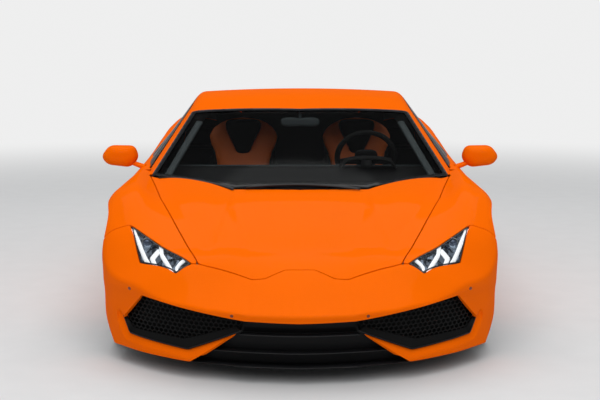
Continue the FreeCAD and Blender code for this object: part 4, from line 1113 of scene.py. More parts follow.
def piece(name: str, shape: Shape, finishes: Sequence[Finish], body: str = "body",
          replaced: Sequence[str] = (), edge: float = 0.0) -> bpy.types.Object:
    """Makes a shape a mesh object that rides on a body.

    Args:
        name: the piece's name.
        shape: its points in car places and its faces.
        finishes: finishes by the tags of the faces.
        body: the body that carries it.
        replaced: the CAD nodes that it stands for.
        edge: width of the rounding of its sharp edges.

    Returns:
        The object.
    """
    mesh = bpy.data.meshes.new(name)
    points = shape.points + (0, NOSE, 0)
    flat = shape.faces[:, 2] == shape.faces[:, 3]
    order = np.concatenate([np.flatnonzero(~flat), np.flatnonzero(flat)])
    quads, thirds = shape.faces[~flat], shape.faces[flat][:, :3]
    mesh.from_pydata(points.tolist(), [], quads.tolist() + thirds.tolist())
    mesh.polygons.foreach_set("material_index", shape.tags[order].astype(np.int32))
    mesh.polygons.foreach_set("use_smooth", np.full(len(order), True))
    for finish in finishes:
        mesh.materials.append(finish.made())
    mesh.update()
    made = bpy.data.objects.new(name, mesh)
    bpy.context.scene.collection.objects.link(made)
    if edge > 0:
        bevel = made.modifiers.new("edges", "BEVEL")
        bevel.width = edge
        bevel.segments = 2
        bevel.limit_method = "ANGLE"
        bevel.angle_limit = math.radians(45)
        bevel.harden_normals = True
        bevel.use_clamp_overlap = True
    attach(made, body)
    if replaced:
        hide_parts(*replaced)
    log.info("%s: %d points, %d faces", name, len(points), len(order))
    return made


def painted(name: str, shape: Shape, node: str, body: str = "body") -> None:
    """Makes a painted panel with a primed back and rounded edges, which stands for a CAD node."""
    piece(name, shape, (Stock.paint, Stock.primer), body, (node,), PANEL_RIM)


def keep_numbers(made: bpy.types.Object, name: str, numbers: np.ndarray) -> None:
    """Stores a number at each point of a piece, for its material to read."""
    made.data.attributes.new(name, "FLOAT", "POINT").data.foreach_set("value", numbers.astype(np.float32))


@dataclass
class FrontEnd:
    """Bonnet, front bumper, wings, headlamps, intakes, splitter and parking sensors.

    Attributes:
        skin: thickness of bonnet and wings.
        bumper_skin: thickness of the bumper.
        bar_edges: the two edges of each light bar in plan.
        mesh_outline: the intake mesh in front view.
        mesh_pitch: distance between the mesh's holes.
        mesh_web: width of its bars.
        mesh_back: how far it lies behind the nose's surface.
        sensor_radius: radius of a parking sensor's cap.
    """

    skin: float = 0.012
    bumper_skin: float = 0.018
    bar_edges: tuple = (
        (((.782, .611), (.762, .563), (.735, .506), (.701, .440)),
         ((.763, .601), (.747, .562), (.712, .489), (.675, .417))),
        (((.641, .461), (.677, .440), (.659, .396)), ((.634, .439), (.654, .422), (.637, .375))),
        (((.641, .482), (.630, .425), (.578, .318)), ((.621, .466), (.613, .420), (.558, .308))),
        (((.519, .358), (.552, .321), (.547, .306)), ((.508, .347), (.541, .313), (.536, .302))),
    )
    mesh_outline: tuple = ((.250, .298), (.700, .356), (.806, .235), (.752, .180), (.509, .180), (.280, .254))
    mesh_pitch: float = 0.022
    mesh_web: float = 0.0040
    mesh_back: float = 0.034
    sensor_radius: float = 0.0075

    def bonnet(self) -> None:
        """The bonnet, over distance out and station, inside its leaning outline."""
        shape = Panel(FORM.body, Rays.plan(0.2), (-0.81, 0.81, 0.010), (0.20, 1.44, 0.010),
                      lambda p: Trims.bonnet(p) + GAP / 2).shape()
        shape.points[:, 2] += self.crease(shape.points)
        painted("bonnet_skin", shape.thick(self.skin), "bonnet", "bonnet")

    @staticmethod
    def crease(p: np.ndarray) -> np.ndarray:
        """Height of the bonnet's two creases: steep inwards, shallow outwards, faded at their ends."""
        off = np.abs(p[:, 0]) - np.interp(p[:, 1], (0.380, 0.968), (0.411, 0.342))
        ridge = np.clip(1 - np.where(off < 0, -off / 0.022, off / 0.110), 0, 1)
        fade = np.interp(p[:, 1], (0.400, 0.520, 0.860, 0.985), (0, 1, 1, 0.3))
        return 0.0055 * ridge * ridge * (3 - 2 * ridge) * fade

    def bumper(self) -> None:
        """The bumper, seen from a point on the ground behind it, with its openings cut through."""
        def outside(p: np.ndarray) -> np.ndarray:
            """Positive beyond the panel's edge."""
            x, s, z = np.moveaxis(p, -1, 0)
            return np.maximum.reduce([
                Trims.bumper_outline.distance(x, s), GAP / 2 - Trims.bonnet(p), 0.001 - Trims.lamp(p),
                Trims.arch(End.FRONT, p), -Trims.intake_outline.distance(np.abs(x), z),
                -Trims.centre_outline.distance(x, z), BUMPER_FOOT - z])
        shape = Panel(FORM.body, Rays.dome(0.80, 1.0), (-88.0, 88.0, 0.5), (3.0, 56.0, 0.45), outside).shape()
        x, z = np.abs(shape.points[:, 0]), shape.points[:, 2]
        below = np.interp(x, (0.24, 0.488, 0.770, 0.815), (0.25, 0.142, 0.160, 0.23)) - z
        ledge = np.clip(1 - Trims.intake_outline.distance(x, z) / 0.042, 0, 1) * (below > -0.02) * (x < 0.83)
        shape.points[:, 1] += 0.030 * ledge
        painted("front_bumper_skin", shape.thick(self.bumper_skin), "front_bumper")

    def wings(self) -> None:
        """The wings, over station and the angle across the car."""
        def outside(p: np.ndarray) -> np.ndarray:
            """Positive beyond the panel's edge."""
            return np.maximum.reduce([
                Trims.wing_outline.distance(p[..., 0], p[..., 1]), GAP / 2 - Trims.bonnet(p),
                0.001 - Trims.lamp(p), np.where(p[..., 0] > 0.78, Trims.arch(End.FRONT, p), -1.0),
                LOW - p[..., 2]])
        shape = Panel(FORM.body, Rays.section, (0.29, 1.515, 0.009), (30.0, 86.0, 0.5), outside).shape()
        painted("front_wing_skins", shape.thick(self.skin).both(), "front_wings")

    def lamps(self) -> None:
        """Headlamp lenses with black rims, over bowls of stepped reflector, light bars and a projector."""
        shape = Panel(FORM.body, Rays.plan(0.2), (0.46, 0.81, 0.006), (0.27, 0.64, 0.006),
                      lambda p: Trims.lamp(p) + 0.002).shape()
        x, s = shape.points[:, 0], shape.points[:, 1]
        near = np.minimum(-Trims.lamp(shape.points), np.hypot(x - 0.795, s - 0.628) - 0.020)
        lens = piece("lamp_lenses", shape.thick(0.003, 0).both(), (Stock.lens,))
        keep_numbers(lens, "edge", np.tile(near, 4))
        steps = 0.026 + 0.005 * np.sin(70 * x + 45 * s) + 0.003 * np.sin(160 * s - 40 * x)
        bowl = Shape(shape.points - steps[:, None] * shape.normals(), shape.faces)
        rimmed = bowl.walled(shape.points - 0.004 * shape.normals(), 0)
        sides = Shape(rimmed.points, rimmed.faces[2 * len(bowl.faces):])
        piece("lamp_bowls", bowl.joined(sides).both(), (Stock.chrome,), replaced=("headlamps",))
        bars = [self.light_bar(outer, inner) for outer, inner in self.bar_edges]
        piece("light_bars", together(bars).both(), (Stock.glow,))
        a = np.linspace(0, np.pi / 2, 7)
        dome = turned_about_x(np.stack([0.010 * np.sin(a), 0.021 * np.cos(a) + 1e-4], 1), 28)
        ring = turned_about_x(np.array([(-0.012, 0.022), (0.004, 0.024), (0.005, 0.028), (-0.012, 0.029)]),
                              28)
        spots = [self.aimed(part, (0.698, 0.532, 0.542)) for part in (dome, ring)]
        piece("lamp_projectors", closed(spots[0]).both(), (Stock.bulb,))
        piece("lamp_rings", ringed(spots[1]).both(), (Stock.steel,))

    @staticmethod
    def aimed(rings: np.ndarray, place: tuple[float, float, float]) -> np.ndarray:
        """Rings about the X axis, turned to look forwards and a little up and out, at a place."""
        x, y, z = np.moveaxis(rings, -1, 0)
        return np.stack([z + 0.15 * x, -x, y + 0.30 * x], -1) + place

    @staticmethod
    def light_bar(outer: Sequence[tuple[float, float]], inner: Sequence[tuple[float, float]]) -> Shape:
        """A flat bar from the bowl to just under the lens.

        Args:
            outer: one of its edges in plan.
            inner: the other.

        Returns:
            The bar, closed.
        """
        t = np.linspace(0, 1, 5)[None, :, None]
        edge_a, edge_b = straight(outer, 24)[:, None], straight(inner, 24)[:, None]
        plan = edge_a * (1 - t) + edge_b * t
        top = lifted(FORM.body, Rays.plan(0.2), plan[..., 0], plan[..., 1])
        crown = 0.009 + 0.003 * (2 * t - 1) ** 2
        sheet = facing(grid(top - np.array((0, 0, 1.0)) * crown), (0, 0, 1))
        return sheet.backed(0, 0, -0.008)

    def intakes(self) -> None:
        """Fine mesh in the side intakes, a shelf under each, and the black centre with its slats."""
        mesh = honeycomb(Outline.one(self.mesh_outline), self.mesh_pitch, self.mesh_web)
        place = lifted(FORM.ends, Rays.ahead, mesh.points[:, 0], mesh.points[:, 2])
        mesh = facing(Shape(place, mesh.faces).moved(0, self.mesh_back, 0), (0, -1, 0))
        piece("intake_meshes", mesh.backed(0, 0.010, 0).both(), (Stock.mesh,),
              replaced=("front_grilles",))
        x, z = np.meshgrid(np.linspace(0.215, 0.830, 60), np.linspace(0, 1, 20), indexing="ij")
        z = 0.120 + z * (np.interp(x, (0.215, 0.700, 0.830), (0.295, 0.350, 0.350)) - 0.120)
        wall = facing(grid(lifted(FORM.ends, Rays.ahead, x, z) + (0, 0.085, 0)), (0, -1, 0))
        piece("intake_walls", wall.backed(0, 0.004, 0).both(), (Stock.mesh,))
        t = np.linspace(0, 1, 9)[None, :, None]
        front = straight(((.803, .232), (.772, .156), (.488, .138), (.250, .244)), 60)[:, None]
        back = straight(((.800, .240), (.752, .182), (.509, .180), (.268, .262)), 60)[:, None]
        flat = front * (1 - t) + back * t
        shelf = lifted(FORM.ends, Rays.ahead, flat[..., 0], flat[..., 1])
        shelf[..., 1] += 0.014 + 0.024 * t[..., 0]
        sheet = facing(grid(shelf), (0, 0, 1))
        piece("intake_shelves", sheet.backed(0, 0, -0.004).both(), (Stock.mesh,))
        lip = lifted(FORM.ends, Rays.ahead, front[:, 0, 0], front[:, 0, 1]) + (0, 0.012, 0.0015)
        piece("intake_lips", swept(lip, 0.0022, 0.0022, (0, 0, 1), 8).both(), (Stock.satin,))
        wide, up = np.meshgrid(np.linspace(-0.445, 0.445, 90), np.linspace(0.078, 0.296, 23), indexing="ij")
        inset = np.minimum(np.interp(up, (0.078, 0.10, 0.24, 0.296), (0.445, 0.445, 0.250, 0.250)), 0.445)
        panel = lifted(FORM.ends, Rays.ahead, wide * inset / 0.445, up)
        panel[..., 1] += 0.060 + 0.10 * (0.296 - up) * (up < 0.24)
        back_wall = facing(grid(panel), (0, -1, 0))
        piece("centre_panel", back_wall.backed(0, 0.006, 0), (Stock.trim,))
        for number, (height, half, start) in enumerate(((0.2265, 0.252, 0.012), (0.142, 0.385, 0.030))):
            x = np.linspace(-half, half, 61)
            front = lifted(FORM.ends, Rays.ahead, x, 0 * x + height) + (0, start, 0)
            middle = front + (0, 0.026, 0)
            slat = swept(middle, 0.026, 0.0035, (0, 1, 0), 14, 3.0)
            piece(f"centre_slat_{number + 1}", slat, (Stock.satin,))

    def splitter(self) -> None:
        """The splitter under the bumper, a thin blade between its front edge and the floor."""
        x = np.linspace(-0.760, 0.760, 153)
        front = np.interp(np.abs(x), (0, .240, .470, .700, .760), (.084, .112, .205, .372, .455))
        t = np.linspace(0, 1, 12)[None]
        s = front[:, None] + (0.615 - front[:, None]) * t
        z = 0.0805 - 0.0025 * (1 - t) ** 6 + 0 * s
        sheet = facing(grid(np.stack([x[:, None] + 0 * s, s, z], -1)), (0, 0, 1))
        piece("splitter_blade", sheet.walled(sheet.points * (1, 1, 0) + (0, 0, 0.0765), 0), (Stock.satin,),
              replaced=("front_splitter",))

    def sensors(self) -> None:
        """Four round parking sensors let into the bumper."""
        r, a = np.meshgrid(np.linspace(0, 1, 5), full_turn(24), indexing="ij")
        discs = []
        for x, z in ((0.762, 0.369), (0.289, 0.313)):
            out = self.sensor_radius * r
            disc = lifted(FORM.body, Rays.ahead, x + out * np.cos(a), z + out * np.sin(a))
            disc[..., 1] -= 0.0012 * (1 - r ** 4)
            discs.append(facing(grid(disc, True), (0, -1, 0)))
        piece("parking_sensors", together(discs).both(), (Stock.bezel,))

    def build(self) -> None:
        """Makes every piece."""
        self.bonnet()
        self.bumper()
        self.wings()
        self.lamps()
        self.intakes()
        self.splitter()
        self.sensors()


@dataclass
class Cabin:
    """Wipers, windscreen, pillars and roof.

    Attributes:
        glass: thickness of the windscreen.
        skin: thickness of pillars and roof.
    """

    glass: float = 0.005
    skin: float = 0.014

    def windscreen(self) -> None:
        """The windscreen, over distance out and station; its points keep how near its edge is."""
        def outside(p: np.ndarray) -> np.ndarray:
            """Positive beyond the panel's edge."""
            return np.maximum(Trims.screen_outline.distance(p[..., 0], p[..., 1]), 0.014 - Trims.bonnet(p))
        shape = Panel(FORM.cabin, Rays.plan(0.5), (-0.80, 0.80, 0.012), (0.95, 2.06, 0.012), outside).shape()
        near = -outside(shape.points)
        made = piece("windscreen_pane", shape.thick(self.glass, 0), (Stock.screen,),
                     replaced=("windscreen",))
        keep_numbers(made, "edge", np.tile(near, 2))

    def pillars(self) -> None:
        """The windscreen pillars, over station and height."""
        def outside(p: np.ndarray) -> np.ndarray:
            """Positive beyond the panel's edge."""
            x, s, z = np.moveaxis(p, -1, 0)
            return np.maximum.reduce([
                0.001 - Trims.screen_outline.distance(x, s), GAP - Trims.window_outline.distance(s, z),
                s - 2.052, -FORM.lower(p) - 0.004, 0.60 - x])
        shape = Panel(FORM.cabin, Rays.side(0.3), (1.20, 2.07, 0.008), (0.72, 1.16, 0.008), outside).shape()
        painted("pillar_skins", shape.thick(self.skin).both(), "windscreen_pillars")

    def roof(self) -> None:
        """The roof, over distance out and station."""
        def outside(p: np.ndarray) -> np.ndarray:
            """Positive beyond the panel's edge."""
            x, s, z = np.moveaxis(p, -1, 0)
            front = np.where(np.abs(x) > 0.60, np.maximum(2.054 - s,
                                                          0.001 - Trims.screen_outline.distance(x, s)),
                             0.001 - Trims.screen_outline.distance(x, s))
            low = np.where(s > 2.760, ROOF_SPLIT - z, 1.0 - z)
            window = GAP - Trims.window_outline.distance(s, z)
            return np.maximum.reduce([front, s - ROOF_REAR, low, window, np.abs(x) - 0.75])
        shape = Panel(FORM.cabin, Rays.plan(0.7), (-0.70, 0.70, 0.010), (1.98, 2.93, 0.010), outside).shape()
        shape.points[:, 2] -= 0.0006
        painted("roof_skin", shape.thick(self.skin), "roof")

    def wipers(self) -> None:
        """Two wiper arms lying on the lower edge of the windscreen, each with its blade."""
        for number, (start, end) in enumerate((((-.33, 1.040), (-.735, 1.330)),
                                               ((.30, 1.035), (-.27, 1.045)))):
            t = np.linspace(0, 1, 30)
            x = start[0] + (end[0] - start[0]) * t
            s = start[1] + (end[1] - start[1]) * t + 0.020 * np.sin(np.pi * t)
            line = lifted(FORM.cabin, Rays.plan(0.5), x, s)
            arm = line + np.array((0, -0.006, 0.010))
            blade = line[8:] + np.array((0, -0.001, 0.0035))
            shape = swept(arm, np.linspace(0.009, 0.004, 30), 0.003, (0, 1, 0.6), 12)
            shape = shape.joined(swept(blade, 0.003, 0.004, (0, 1, 0.6), 10))
            piece(f"wiper_{number + 1}", shape, (Stock.satin,))

    def build(self) -> None:
        """Makes every piece."""
        self.wipers()
        self.windscreen()
        self.pillars()
        self.roof()


@dataclass
class Doors:
    """Door skins, glass and mirrors.

    Attributes:
        glass: thickness of the side windows.
        mirror_outline: a mirror head from ahead.
        mirror_rings: station and share of the outline for each ring of the head.
    """

    glass: float = 0.005
    mirror_outline: tuple = ((.883, .824), (.907, .889), (1.046, .891), (1.090, .832), (1.056, .786),
                             (.924, .771))
    mirror_rings: tuple = ((1.5895, .02), (1.5900, .30), (1.5925, .55), (1.600, .76), (1.614, .90),
                           (1.640, .975), (1.672, 1.0), (1.692, .985), (1.699, .955), (1.7000, .930),
                           (1.6965, .915), (1.690, .905))

    def skins(self) -> None:
        """Each door as a closed slab, from its outer surface to the trim panel inside."""
        def outside(p: np.ndarray) -> np.ndarray:
            """Positive beyond the panel's edge."""
            x, s, z = np.moveaxis(p, -1, 0)
            return np.maximum.reduce([
                DOOR_FRONT + GAP - s, Trims.door_reach(p) - DOOR_LENGTH, SILL - z,
                Trims.off_cabin(p, 0.004), DOOR_INNER - x])
        shape = Panel(FORM.body, Rays.section, (DOOR_FRONT - 0.005, DOOR_REAR + 0.02, 0.010),
                      (40.0, 80.0, 0.5), outside).shape()
        inner = shape.points.copy()
        inner[:, 0] = np.minimum(DOOR_INNER + 0.002, inner[:, 0] - 0.01)
        left = shape.walled(inner)
        for side in Side:
            door = f"door_{side.value}"
            piece(f"door_skin_{side.value}", side.of(left), (Stock.paint, Stock.dash), door,
                  (door,), PANEL_RIM)

    def panes(self) -> None:
        """The side windows, over station and height."""
        def outside(p: np.ndarray) -> np.ndarray:
            """Positive beyond the panel's edge."""
            return np.maximum.reduce([
                Trims.window_outline.distance(p[..., 1], p[..., 2]) + 0.001,
                Trims.door_reach(p) - DOOR_LENGTH, -FORM.lower(p) - 0.012, PANE_FOOT - p[..., 2]])
        shape = Panel(FORM.cabin, Rays.side(0.3), (1.53, 2.78, 0.012), (0.74, 1.14, 0.012), outside).shape()
        left = shape.thick(self.glass, 0)
        for side in Side:
            piece(f"door_pane_{side.value}", side.of(left), (Stock.glass,), f"door_{side.value}",
                  (f"door_glass_{side.value}",))

    def mirrors(self) -> None:
        """Mirror heads as rings round their outline along the car, with glass, on stalks from the doors."""
        ring = smooth_ring(self.mirror_outline, 0.030)
        middle = np.array(self.mirror_outline).mean(0)
        middle_ring = ring - middle
        profile = np.array(self.mirror_rings)
        station = np.repeat(profile[:, :1], len(ring), 1)
        share = profile[:, 1, None, None] * middle_ring + middle
        head = closed(np.stack([share[..., 0], station, share[..., 1]], -1))
        pane = np.array([(1.6935, .0), (1.6935, .5), (1.6935, .90)])
        glass = pane[:, 1, None, None] * middle_ring + middle
        face = grid(np.stack([glass[..., 0], np.repeat(pane[:, :1], len(ring), 1), glass[..., 1]], -1), True)
        face = facing(face, (0, 1, 0))
        path = along(((.848, 1.655, .772), (.880, 1.655, .782), (.925, 1.652, .800), (.965, 1.650, .815)), 12)
        stalk = swept(path, np.linspace(0.028, 0.020, 12), np.linspace(0.014, 0.011, 12), (0, 1, 0), 20, 2.6)
        for side in Side:
            body = f"door_{side.value}"
            piece(f"mirror_{side.value}", side.of(head.joined(stalk)), (Stock.paint,), body,
                  (f"door_mirror_{side.value}",))
            piece(f"mirror_glass_{side.value}", side.of(face), (Stock.mirror_glass,), body)

    def build(self) -> None:
        """Makes every piece."""
        self.skins()
        self.panes()
        self.mirrors()


@dataclass
class RearEnd:
    """Tail lamps, mesh, plate, exhaust tips, quarter panels, sills, deck, engine cover and rear bumper.

    Attributes:
        skin: thickness of the panels.
        bumper_skin: thickness of the bumper.
        slots: number of slots in the engine cover.
        slot_start: station of the first slot.
        slot_step: distance from a slot to the next.
        slot_half: half a slot's size across and along the car.
    """

    skin: float = 0.014
    bumper_skin: float = 0.018
    slots: int = 5
    slot_start: float = 3.175
    slot_step: float = 0.150
    slot_half: tuple[float, float] = (0.330, 0.035)

    @staticmethod
    def parting(z: np.ndarray) -> np.ndarray:
        """Station where bumper and quarter panel meet: it runs forward below, where the tail is cut back."""
        return QUARTER_REAR - 0.5 * np.clip(0.240 - z, 0, 0.130)

    def quarters(self) -> None:
        """The panels over the rear wheels, over station and the angle across the car."""
        def outside(p: np.ndarray) -> np.ndarray:
            """Positive beyond the panel's edge."""
            x, s, z = np.moveaxis(p, -1, 0)
            sill = np.where(s < DOOR_REAR, SILL - z, LOW - z)
            return np.maximum.reduce([
                QUARTER_INNER - x, DOOR_LENGTH + GAP - Trims.door_reach(p), sill, Trims.arch(End.REAR, p),
                -Trims.side_intake_outline.distance(s, z), Trims.off_cabin(p, 0.008), s - self.parting(z)])
        shape = Panel(FORM.body, Rays.section, (2.72, QUARTER_REAR + 0.012, 0.010), (30.0, 86.0, 0.5),
                      outside).shape()
        painted("quarter_skins", shape.thick(self.skin).both(), "quarter_panels")

    def sills(self) -> None:
        """The sills, over station and the angle across the car."""
        def outside(p: np.ndarray) -> np.ndarray:
            """Positive beyond the panel's edge."""
            s, z = p[..., 1], p[..., 2]
            return np.maximum.reduce([DOOR_FRONT + BUTT - s, s - DOOR_REAR + BUTT, LOW - z, z - SILL + GAP])
        shape = Panel(FORM.body, Rays.section, (DOOR_FRONT - 0.01, DOOR_REAR + 0.02, 0.010),
                      (70.0, 86.0, 0.5), outside).shape()
        painted("sill_skins", shape.thick(self.skin).both(), "sills")

    def deck(self) -> None:
        """The rear deck round the engine cover, seen from a point inside it."""
        def outside(p: np.ndarray) -> np.ndarray:
            """Positive beyond the panel's edge."""
            s, z = p[..., 1], p[..., 2]
            front = np.where(z > ROOF_SPLIT, ROOF_REAR + BUTT - s, DECK_FRONT - s)
            return np.maximum.reduce([
                front, GAP / 2 - Trims.cover(p), DOOR_LENGTH + GAP - Trims.door_reach(p),
                -FORM.lower(p) - 0.006, 0.72 - z])
        shape = Panel(FORM.cabin, Rays.spread(3.5, 0.45), (-3.2, 3.2, 0.028), (-2.0, 4.0, 0.028),
                      outside).shape()
        painted("deck_skin", shape.thick(self.skin), "rear_deck")

    def cover(self) -> None:
        """The engine cover with its five slots."""
        def outside(p: np.ndarray) -> np.ndarray:
            """Positive beyond the panel's edge."""
            x, s = p[..., 0], p[..., 1]
            wide, deep = self.slot_half
            slots = [np.minimum(wide - np.abs(x), deep - np.abs(s - self.slot_start - self.slot_step * k))
                     for k in range(self.slots)]
            return np.maximum.reduce([Trims.cover(p) + GAP / 2, *slots])
        shape = Panel(FORM.cabin, Rays.plan(0.6), (-0.48, 0.48, 0.010), (2.90, 4.25, 0.010), outside).shape()
        painted("cover_skin", shape.thick(self.skin), "engine_cover", "engine_cover")

    def bumper(self) -> None:
        """The rear bumper, seen from a point on the ground before it, with its openings cut through."""
        def outside(p: np.ndarray) -> np.ndarray:
            """Positive beyond the panel's edge."""
            x, s, z = np.moveaxis(p, -1, 0)
            return np.maximum.reduce([
                self.parting(z) + BUTT - s, Trims.arch(End.REAR, p), -Trims.diffuser_outline.distance(x, z),
                -Trims.rear_outline.distance(x, z), Trims.off_cabin(p, 0.006), LOW + 0.002 - z,
                -Trims.plate_outline.distance(x, z)])
        shape = Panel(FORM.body, Rays.dome(3.75, -1.0), (-84.0, 84.0, 0.55), (6.0, 58.0, 0.5),
                      outside).shape()
        painted("rear_bumper_skin", shape.thick(self.bumper_skin), "rear_bumper")

    def tail_lamps(self) -> None:
        """Red lenses over dark housings with three lit branches in each."""
        outline = Outline.one(((.470, .668), (.748, .660), (.818, .716), (.788, .752), (.470, .740)))
        shape = Panel(FORM.ends, Rays.astern, (0.455, 0.830, 0.006), (0.650, 0.762, 0.005),
                      lambda p: outline.distance(p[..., 0], p[..., 2])).shape()
        lens = shape.moved(0, -0.005, 0)
        made = piece("tail_lenses", lens.thick(0.003, 0).both(), (Stock.red_lens,))
        keep_numbers(made, "edge", np.tile(-outline.distance(shape.points[:, 0], shape.points[:, 2]), 4))
        house = shape.moved(0, -0.034, 0)
        sides = house.walled(shape.points - (0, 0.010, 0), 0)
        rim = Shape(sides.points, sides.faces[2 * len(house.faces):])
        piece("tail_housings", house.joined(rim).both(), (Stock.tail,), replaced=("tail_lamps",))
        bars = []
        for x in (0.520, 0.610, 0.700):
            for run in (((x - .030, .705), (x + .015, .705)), ((x + .015, .705), (x + .040, .735)),
                        ((x + .015, .705), (x + .040, .678))):
                flat = straight(run, 10)
                line = lifted(FORM.ends, Rays.astern, flat[:, 0], flat[:, 1]) - (0, 0.016, 0)
                bars.append(swept(line, 0.0045, 0.004, (0, 0, 1), 12, 3.0))
        piece("tail_light_bars", together(bars).both(), (Stock.red_glow,))

    def rear_mesh(self) -> None:
        """The mesh panel between the tail lamps, before a black wall."""
        mesh = honeycomb(Outline.one(((-.462, .632), (.462, .632), (.462, .768), (-.462, .768))),
                         0.030, 0.006)
        place = lifted(FORM.ends, Rays.astern, mesh.points[:, 0], mesh.points[:, 2]) - (0, 0.030, 0)
        mesh = facing(Shape(place, mesh.faces), (0, 1, 0))
        piece("rear_mesh", mesh.backed(0, -0.010, 0), (Stock.gloss,), replaced=("rear_grille",))
        x, z = np.meshgrid(np.linspace(-0.83, 0.83, 90), np.linspace(0.600, 0.790, 12), indexing="ij")
        wall = facing(grid(lifted(FORM.ends, Rays.astern, x, z) - (0, 0.062, 0)), (0, 1, 0))
        piece("rear_wall", wall.backed(0, -0.005, 0), (Stock.trim,))

    def plate_place(self) -> None:
        """A blank plate in its black recess."""
        for name, half, low, high, front, finish in (("plate_bed", .286, .446, .598, 4.4340, Stock.trim),
                                                     ("blank_plate", .256, .470, .574, 4.4390, Stock.plate)):
            ring = smooth_ring(((-half, low), (half, low), (half, high), (-half, high)), 0.014)
            station = np.array([front - 0.004, front - 0.001, front])[:, None]
            share = np.array([1.0, 1.0, 0.996])[:, None, None]
            middle = np.array((0.0, (low + high) / 2))
            flat = (ring - middle) * share + middle
            rings = np.stack([flat[..., 0], np.repeat(station, len(ring), 1), flat[..., 1]], -1)
            piece(name, closed(rings), (finish,))

    def tips(self) -> None:
        """Rolled ends on the four exhaust pipes."""
        profile = np.array([(-.110, .0425), (-.008, .0440), (0, .0430), (.001, .0415), (-.003, .0400),
                            (-.110, .0390)])
        ring = turned_about_x(profile, 48)
        rolled = ringed(np.stack([ring[..., 1], ring[..., 0], ring[..., 2]], -1))
        made = [rolled.moved(x, 4.389, 0.275) for x in (0.335, 0.430)]
        piece("exhaust_tips", together(made).both(), (Stock.steel,))

    def side_mesh(self) -> None:
        """Mesh across the side intakes."""
        mesh = honeycomb(Outline.one(SIDE_INTAKE), 0.030, 0.006)
        place = lifted(FORM.body, Rays.side(0.3), mesh.points[:, 0], mesh.points[:, 2]) - (0.026, 0, 0)
        mesh = facing(Shape(place, mesh.faces), (1, 0, 0))
        piece("side_meshes", mesh.backed(-0.008, 0, 0).both(), (Stock.gloss,))

    def build(self) -> None:
        """Makes every piece."""
        self.tail_lamps()
        self.rear_mesh()
        self.plate_place()
        self.tips()
        self.side_mesh()
        self.quarters()
        self.sills()
        self.deck()
        self.cover()
        self.bumper()


